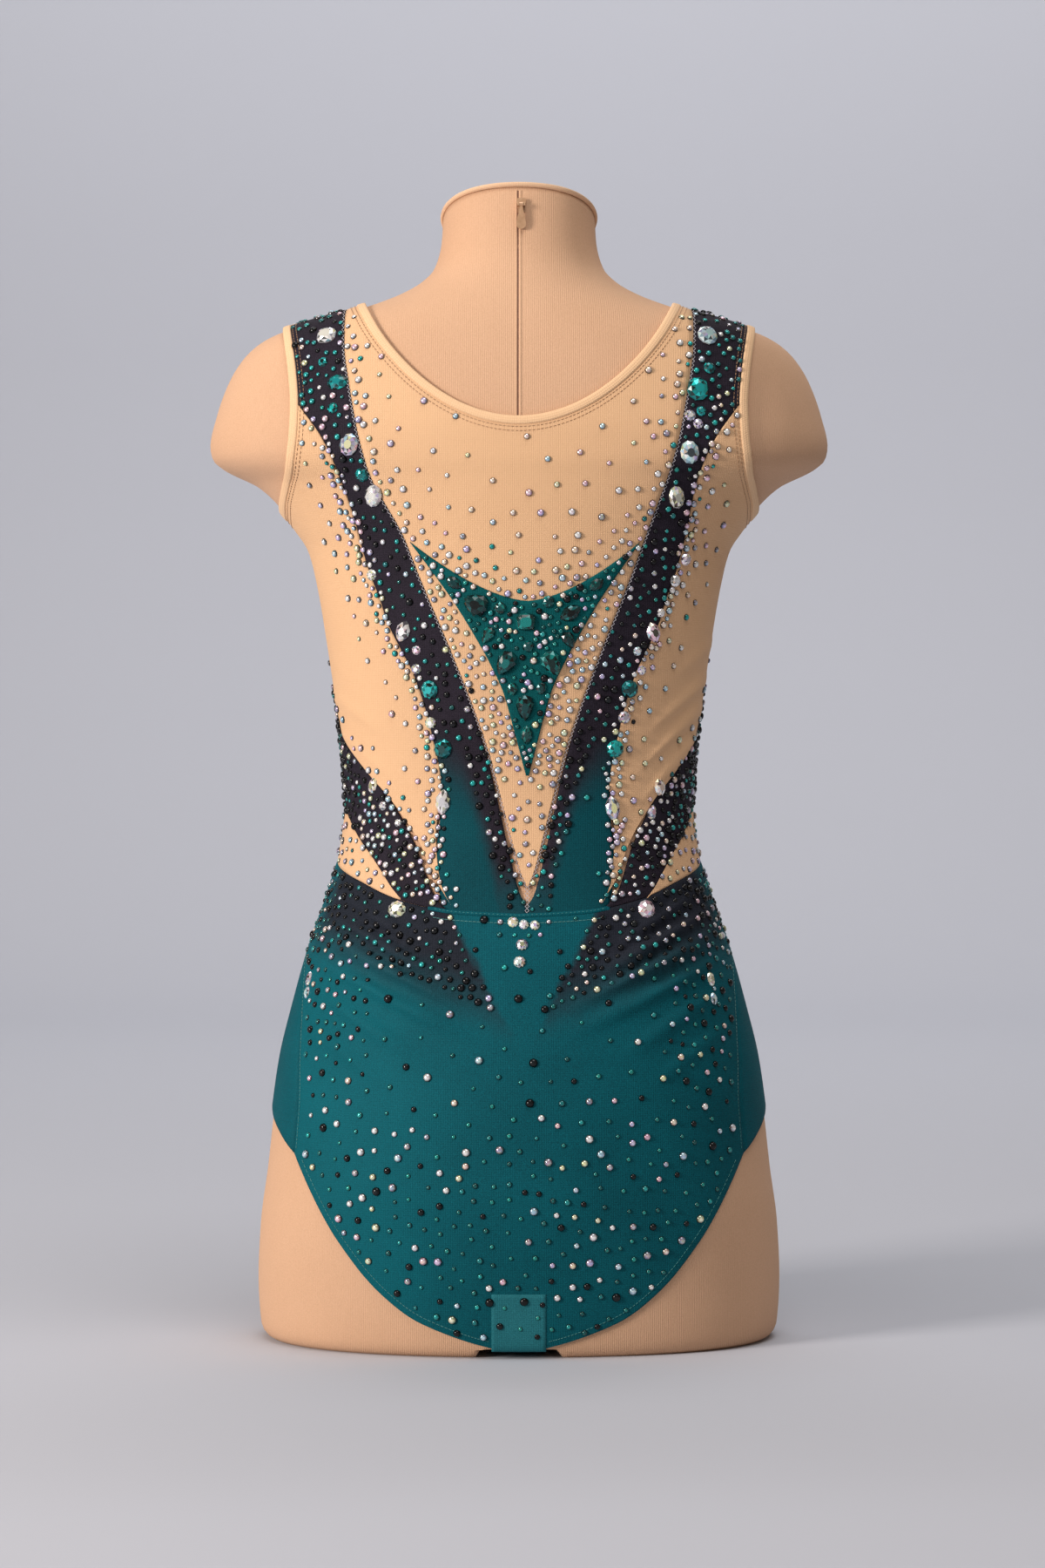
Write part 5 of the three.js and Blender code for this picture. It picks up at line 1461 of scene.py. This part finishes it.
# Large stones: across, height, width, tall, outline, tilt in degrees, glass
largeStones = [
    (-121.5, 644, 14, 11.5, "cushion", 4, "crystal"), (-114, 613.5, 13.5, 10, "oval", 8, "teal"),
    (-123.5, 627, 6.5, 6.5, "round", 0, "teal"), (-117, 597, 7, 7, "round", 0, "teal"),
    (-106.5, 574, 12, 14.5, "oval", -16, "crystal"), (-98.5, 556, 9, 9, "round", 0, "teal"),
    (-92, 542.5, 11.5, 14.5, "oval", -16, "crystal"), (-95, 493, 7.5, 7.5, "round", 0, "crystal"),
    (-76, 457, 10, 14, "marquise", -24, "crystal"), (-68, 445, 6, 6, "round", 0, "crystal"),
    (-68, 433, 6.8, 6.8, "round", 0, "crystal"), (-60, 420, 11, 12, "round", 0, "teal"),
    (-59.5, 399, 7.5, 7.5, "round", 0, "crystal"), (-52, 382.5, 11.5, 13, "oval", -14, "teal"),
    (-52, 348.5, 10, 16.5, "marquise", -6, "crystal"), (-94, 359, 7, 11, "oval", -22, "crystal"),
    (-88, 346, 6, 6, "round", 0, "crystal"), (-79, 335, 5, 5, "round", 0, "crystal"),
    (-79.5, 280, 12.5, 11, "round", 0, "crystal"),
    (119, 644, 13.5, 13.5, "round", 0, "crystal"), (120, 623, 8, 8, "round", 0, "teal"),
    (112.5, 609, 14.5, 15.5, "oval", -14, "teal"), (107.5, 592, 7.5, 7.5, "round", 0, "crystal"),
    (114.5, 595, 6.6, 6.6, "round", 0, "teal"), (112.5, 587, 6.6, 6.6, "round", 0, "crystal"),
    (107, 569.5, 12.5, 15, "oval", 14, "crystal"), (98, 542, 10.5, 15, "oval", 18, "crystal"),
    (103, 503.5, 8.4, 8.4, "round", 0, "crystal"), (96, 489.5, 8, 8, "round", 0, "crystal"),
    (86.5, 469, 6, 6, "round", 0, "crystal"), (81.5, 456.5, 10, 14, "marquise", 24, "crystal"),
    (71, 444.5, 6, 6, "round", 0, "crystal"), (74, 432.5, 6.4, 6.4, "round", 0, "crystal"),
    (66, 420.5, 11.5, 11.5, "round", 0, "teal"), (62.5, 402.5, 8.4, 8.4, "round", 0, "crystal"),
    (56.5, 382.5, 11.5, 11.5, "round", 0, "teal"), (55, 344.5, 10, 16.5, "marquise", 8, "crystal"),
    (86.5, 358, 8.8, 11.5, "oval", 20, "crystal"), (81.5, 342, 7.6, 9.8, "pear", -16, "crystal"),
    (77, 280, 12, 12, "round", 0, "crystal"),
    (-32, 473.5, 16, 16.5, "pear", 62, "kite"), (-1, 462.5, 13.5, 12, "cushion", 0, "kite"),
    (27, 468, 10, 15, "marquise", -58, "kite"), (-13.5, 436.5, 13.5, 16.5, "pear", 152, "kite"),
    (15, 436.5, 13.5, 16.5, "pear", 208, "kite"), (-1.5, 408.5, 12.5, 16.5, "pear", 180, "kite"),
    (-17, 471, 8, 8, "round", 0, "kite"), (13, 475, 8, 8, "round", 0, "kite"),
    (-24.5, 454, 8.5, 11.5, "pear", 150, "kite"), (26, 451, 8.5, 11.5, "pear", 210, "kite"),
    (0.5, 447, 7.5, 7.5, "round", 0, "kite"), (-9.5, 420.5, 7, 8.5, "oval", 12, "kite"),
    (8.5, 421, 7, 8.5, "oval", -12, "kite"), (-0.5, 391.5, 7.5, 12, "marquise", 0, "kite"),
    (-45, 487, 7.5, 11.5, "marquise", 55, "kite"), (43.5, 486, 7.5, 11.5, "marquise", -55, "kite"),
    (-8, 272.5, 7, 7, "round", 0, "crystal"), (-1, 271, 6.4, 6.4, "round", 0, "crystal"),
    (6, 270.5, 6.4, 6.4, "round", 0, "crystal"), (0, 258.5, 7.6, 7.6, "round", 0, "crystal"),
    (0, 247.8, 7.6, 7.6, "round", 0, "crystal"),
    (-133.5, 234, 6.6, 10, "oval", 0, "crystal"), (-134.5, 225.5, 6, 8, "oval", 0, "crystal"),
    (121, 235, 6.6, 10, "oval", 0, "crystal"), (122, 222.5, 6, 8, "oval", 0, "crystal"),
]


def groupLarge(kind):
    return [setStone(x, z, width, tall, outline, math.radians(tilt))
            for x, z, width, tall, outline, tilt, glass in largeStones if glass == kind]


makeStones("largeCrystals", groupLarge("crystal"), 10, "crystal", 3, cutSteps)
makeStones("largeTealStones", groupLarge("teal"), 10, "teal", 4, cutSteps)
makeStones("kiteStones", groupLarge("kite"), 10, "kite", 5, cutSteps)
print("large stones made")


# Small stones: darts thrown at random, each keeping its region's distance to the ones before

scatterLook = {"darts": 150000, "seed": 11, "turn": 91, "low": 14, "high": 664, "grid": 12, "none": 999,
               "spread": (0.88, 1.12), "largeRoom": 2.4, "sizeShares": (0.3, 0.45, 0.25),
               "briefGrowth": 0.6, "rise": 0.42}
# shares of crystal, teal, deep teal and jet
palettes = {"strap": (0.3, 0.55, 0.05, 0.1), "band": (0.22, 0.2, 0.23, 0.35), "edge": (0.94, 0.06, 0, 0),
            "kite": (0.4, 0.08, 0.4, 0.12), "mesh": (0.94, 0.05, 0, 0.01), "wedge": (0.2, 0.1, 0.2, 0.5),
            "wedgeInner": (0.62, 0.1, 0.08, 0.2), "dark": (0.22, 0.1, 0.18, 0.5),
            "hip": (0.3, 0.15, 0.25, 0.3),
            "brief": (0.3, 0.12, 0.44, 0.14), "foot": (0.2, 0.35, 0.15, 0.3)}
kinds = ["crystal", "teal", "deep", "jet"]
sizes = {"crystal": (3.4, 4.2, 5.0), "teal": (3.0, 3.8, 4.4), "deep": (2.9, 3.3, 3.8), "jet": (3.3, 4.2, 5.2)}
paletteNames = list(palettes)


def spacingField(turn, z):
    # gives spacing and palette index for every dart
    x, deg = beforeLean(turn, z)
    ax = np.abs(x)
    inner = innerEdge(z)
    outer = outerTable(z)
    seam = seamAt(turn)
    spacing = np.full(np.shape(z), float(scatterLook["none"]))
    palette = np.zeros(np.shape(z), int)

    def put(where, value, name):
        value = np.broadcast_to(value, np.shape(z))
        closer = where & (value < spacing)
        spacing[closer] = value[closer]
        palette[closer] = paletteNames.index(name)

    above = (z > seam + 3) & (ax < armholeWidth(z) - 7)
    onBand = above & (ax > inner + 2) & (ax < np.minimum(outer - 2, armholeWidth(z) - 6))
    fade = (z < 388) & (ax - inner > 14) & (outer - ax > 5)
    put(onBand & (z > 560), 5.2, "strap")
    put(onBand & (z <= 560) & ~fade, 6.0, "band")
    put(onBand & (ax - inner < 15) & (z < 388), 5.0, "foot")
    put(onBand & fade, 26.0, "foot")
    put(above & (ax - outer > -3) & (ax - outer < 6) & (z < 575) & (z > seam + 2), 4.1, "edge")
    put(above & (ax - outer > -4) & (ax - outer < 8) & (z < 430) & (z > seam + 2), 4.5, "edge")
    put((z > 656) & (ax > inner + 1) & (ax < armholeWidth(z) - 5), 4.2, "strap")
    head = kiteHead(np.clip(ax / kiteTop["halfWidth"], 0, 1))
    foot = kiteFoot + 1.5
    rim = neckline["halfWidth"] + bindingWidth + 3
    neckDip = shoulderHeight(rim) - neckline["backLow"] + bindingWidth + 3
    neckDip = neckDip * np.sqrt(np.clip(1 - (ax / rim) ** 2, 0, 1)) ** neckline["power"]
    inWindow = above & (ax < inner - 2) & (z < shoulderHeight(rim) - neckDip)
    put(inWindow & (ax < kiteEdge(z) - 1.5) & (z < head - 1.5) & (z > foot), 3.8, "kite")
    put(inWindow & (ax > kiteEdge(z) + 1.5) & (z < 513) & (z > foot), 5.1, "mesh")
    put(inWindow & (z < foot), 7.6, "mesh")
    over = z - head
    put(inWindow & (over > 2) & (over < 105), 4.7 + 0.19 * over, "mesh")
    put(inWindow & (over > 2) & (inner - ax < 28) & (z < 656), 4.3 + 0.36 * (inner - ax), "mesh")
    outside = above & (ax > outer + 1.5) & (deg < 90)
    onMesh = outside & (z > upperWedge(deg) + 1.5)
    put(onMesh & (ax - outer < 24), 4.3 + 0.42 * (ax - outer), "mesh")
    put(onMesh & (z - upperWedge(deg) < 22), 4.8 + 0.55 * (z - upperWedge(deg)), "mesh")
    onWedge = outside & (z < upperWedge(deg) - 1) & (z > lowerWedge(deg) + 1)
    put(onWedge, 4.5, "wedge")
    put(onWedge & (deg < 62), 4.4, "wedgeInner")
    put(outside & (z < lowerWedge(deg) - 1.5), 7.0, "mesh")
    below = (z < seam - 3) & (z > 14) & (ax < np.where(z < hemTop, hemEdge(z) - 8, 999))
    below = below & (deg < sideSeamTurn(z) - 4)
    put(below, lerp(9.2, 18.0, smooth(z, 110, 215)), "brief")
    inDark = (ax > 18 + (z - 225) * 0.5) & (z > 218.5 + ax * 0.36 - 6)
    put(below & inDark, 5.4, "dark")
    put(below & (ax > 94) & (z > 100), 7.4 + 0.07 * np.clip(200 - z, 0, 80), "hip")
    put(below & (z > 262) & (ax < 16), 7.0, "foot")
    return spacing, palette


def cellOf(a, b):
    return int(a // scatterLook["grid"]), int(b // scatterLook["grid"])


def isFree(grid, a, b, room):
    # A large stone keeps its own distance, and the others the new one's
    reach = int(room // scatterLook["grid"]) + 1
    column, row = cellOf(a, b)
    for m in range(column - reach, column + reach + 1):
        for n in range(row - reach, row + reach + 1):
            for otherA, otherB, otherRoom in grid.get((m, n), ()):
                if (a - otherA) ** 2 + (b - otherB) ** 2 < (otherRoom or room) ** 2:
                    return False
    return True


def scatterStones():
    rng = np.random.default_rng(scatterLook["seed"])
    widest = math.radians(scatterLook["turn"])
    turn = rng.uniform(-widest, widest, scatterLook["darts"])
    z = rng.uniform(scatterLook["low"], scatterLook["high"], scatterLook["darts"])
    spacing, palette = spacingField(turn, z)
    spacing = spacing * rng.uniform(*scatterLook["spread"], len(spacing))
    along = arcAt(turn, z)
    grid = {}
    for x, height, width, tall, outline, tilt, glass in largeStones:
        a = float(arcAt(turnAt(x, height), height))
        room = (width + tall) / 4 + scatterLook["largeRoom"]
        grid.setdefault(cellOf(a, height), []).append((a, height, room))
    kept = []
    for i in np.flatnonzero(spacing < scatterLook["none"] / 2):
        a, b, room = float(along[i]), float(z[i]), float(spacing[i])
        if isFree(grid, a, b, room):
            grid.setdefault(cellOf(a, b), []).append((a, b, 0))
            kept.append(i)
    groups = {kind: [] for kind in kinds}
    for i in kept:
        region = paletteNames[palette[i]]
        kind = kinds[int(rng.choice(4, p=palettes[region]))]
        size = rng.choice(sizes[kind], p=scatterLook["sizeShares"])
        if region == "brief" and kind in ("crystal", "jet"):
            size += scatterLook["briefGrowth"]
        centre = clothPoint(turn[i], z[i], regionTop(turn[i], z[i]))
        spin = rng.uniform(0, 2 * math.pi)
        rise = size * scatterLook["rise"]
        groups[kind].append((centre, bodyNormal(turn[i], z[i]), spin, size, size, rise, "round"))
    return groups


smallStones = scatterStones()
for index, (kind, stones) in enumerate(smallStones.items()):
    makeStones("small" + kind.capitalize() + "Stones", stones, 8, kind, 20 + index, domeSteps)
print("small stones made:", {kind: len(stones) for kind, stones in smallStones.items()})


# Stage: a paper sweep, soft light from the left and a level camera at the back

stageLook = {"width": 14, "depth": 5, "behind": 4.4, "radius": 1.2, "height": 5, "paper": "#bbbec8",
             "world": "#d8c6b4", "worldStrength": 0.29}


def makeSweep():
    bm = bmesh.new()
    bmesh.ops.create_grid(bm, x_segments=2, y_segments=60, size=0.5)
    floorRun = stageLook["depth"] + stageLook["behind"] - stageLook["radius"]
    bendRun = stageLook["radius"] * math.pi / 2
    whole = floorRun + bendRun + stageLook["height"]
    for vert in bm.verts:
        run = (vert.co.y + 0.5) * whole
        bend = min(max(run - floorRun, 0), bendRun) / stageLook["radius"]
        y = -stageLook["depth"] + min(run, floorRun) + stageLook["radius"] * math.sin(bend)
        z = stageLook["radius"] * (1 - math.cos(bend)) + max(run - floorRun - bendRun, 0)
        vert.co = (vert.co.x * stageLook["width"], y, z)
    mesh = meshFrom("paperSweep", bm)
    obj = linked("paperSweep", mesh)
    for polygon in mesh.polygons:
        polygon.use_smooth = True
    material, tree = newMaterial("greySeamlessPaper")
    finishMaterial(tree, {"Roughness": 0.95}, linear(stageLook["paper"]))
    mesh.materials.append(material)
    return obj


def areaLight(name, place, aim, size, power, colour="#ffffff"):
    lamp = bpy.data.lights.new(name, "AREA")
    lamp.shape = "RECTANGLE"
    lamp.size, lamp.size_y = size
    lamp.energy = power
    lamp.color = linear(colour)[:3]
    obj = linked(name, lamp)
    obj.location = place
    obj.rotation_euler = (Vector(aim) - Vector(place)).to_track_quat("-Z", "Y").to_euler()
    return obj


sweep = makeSweep()
keyLight = areaLight("keyLight", (-2.2, -1.7, 1.0), (0, 0, 0.36), (0.7, 0.9), 78, "#fff5ec")
fillLight = areaLight("fillLight", (2.4, -2.2, 0.9), (0, 0, 0.36), (1.6, 1.6), 1.2, "#fff0e4")
topLight = areaLight("topLight", (0.3, -0.9, 2.6), (0.05, 0, 0.5), (1.6, 1.6), 31)
wallLight = areaLight("wallLight", (0.3, 2.0, 3.6), (0.2, 4.4, 0.7), (5, 1.2), 104)
world = bpy.data.worlds.new("studio")
world.use_nodes = True
background = world.node_tree.nodes["Background"]
background.inputs["Color"].default_value = linear(stageLook["world"])
background.inputs["Strength"].default_value = stageLook["worldStrength"]
bpy.context.scene.world = world

cameraLook = {"lens": 80.7, "sensor": 36, "far": 50, "place": (0.0023, -2.297, 0.36)}
camera = linked("camera", bpy.data.cameras.new("camera"))
camera.data.lens = cameraLook["lens"]
camera.data.sensor_width = cameraLook["sensor"]
camera.data.clip_end = cameraLook["far"]
camera.location = cameraLook["place"]
camera.rotation_euler = (math.pi / 2, 0, 0)
bpy.context.scene.camera = camera
bpy.context.scene.view_settings.view_transform = "Standard"

print("scene ready")
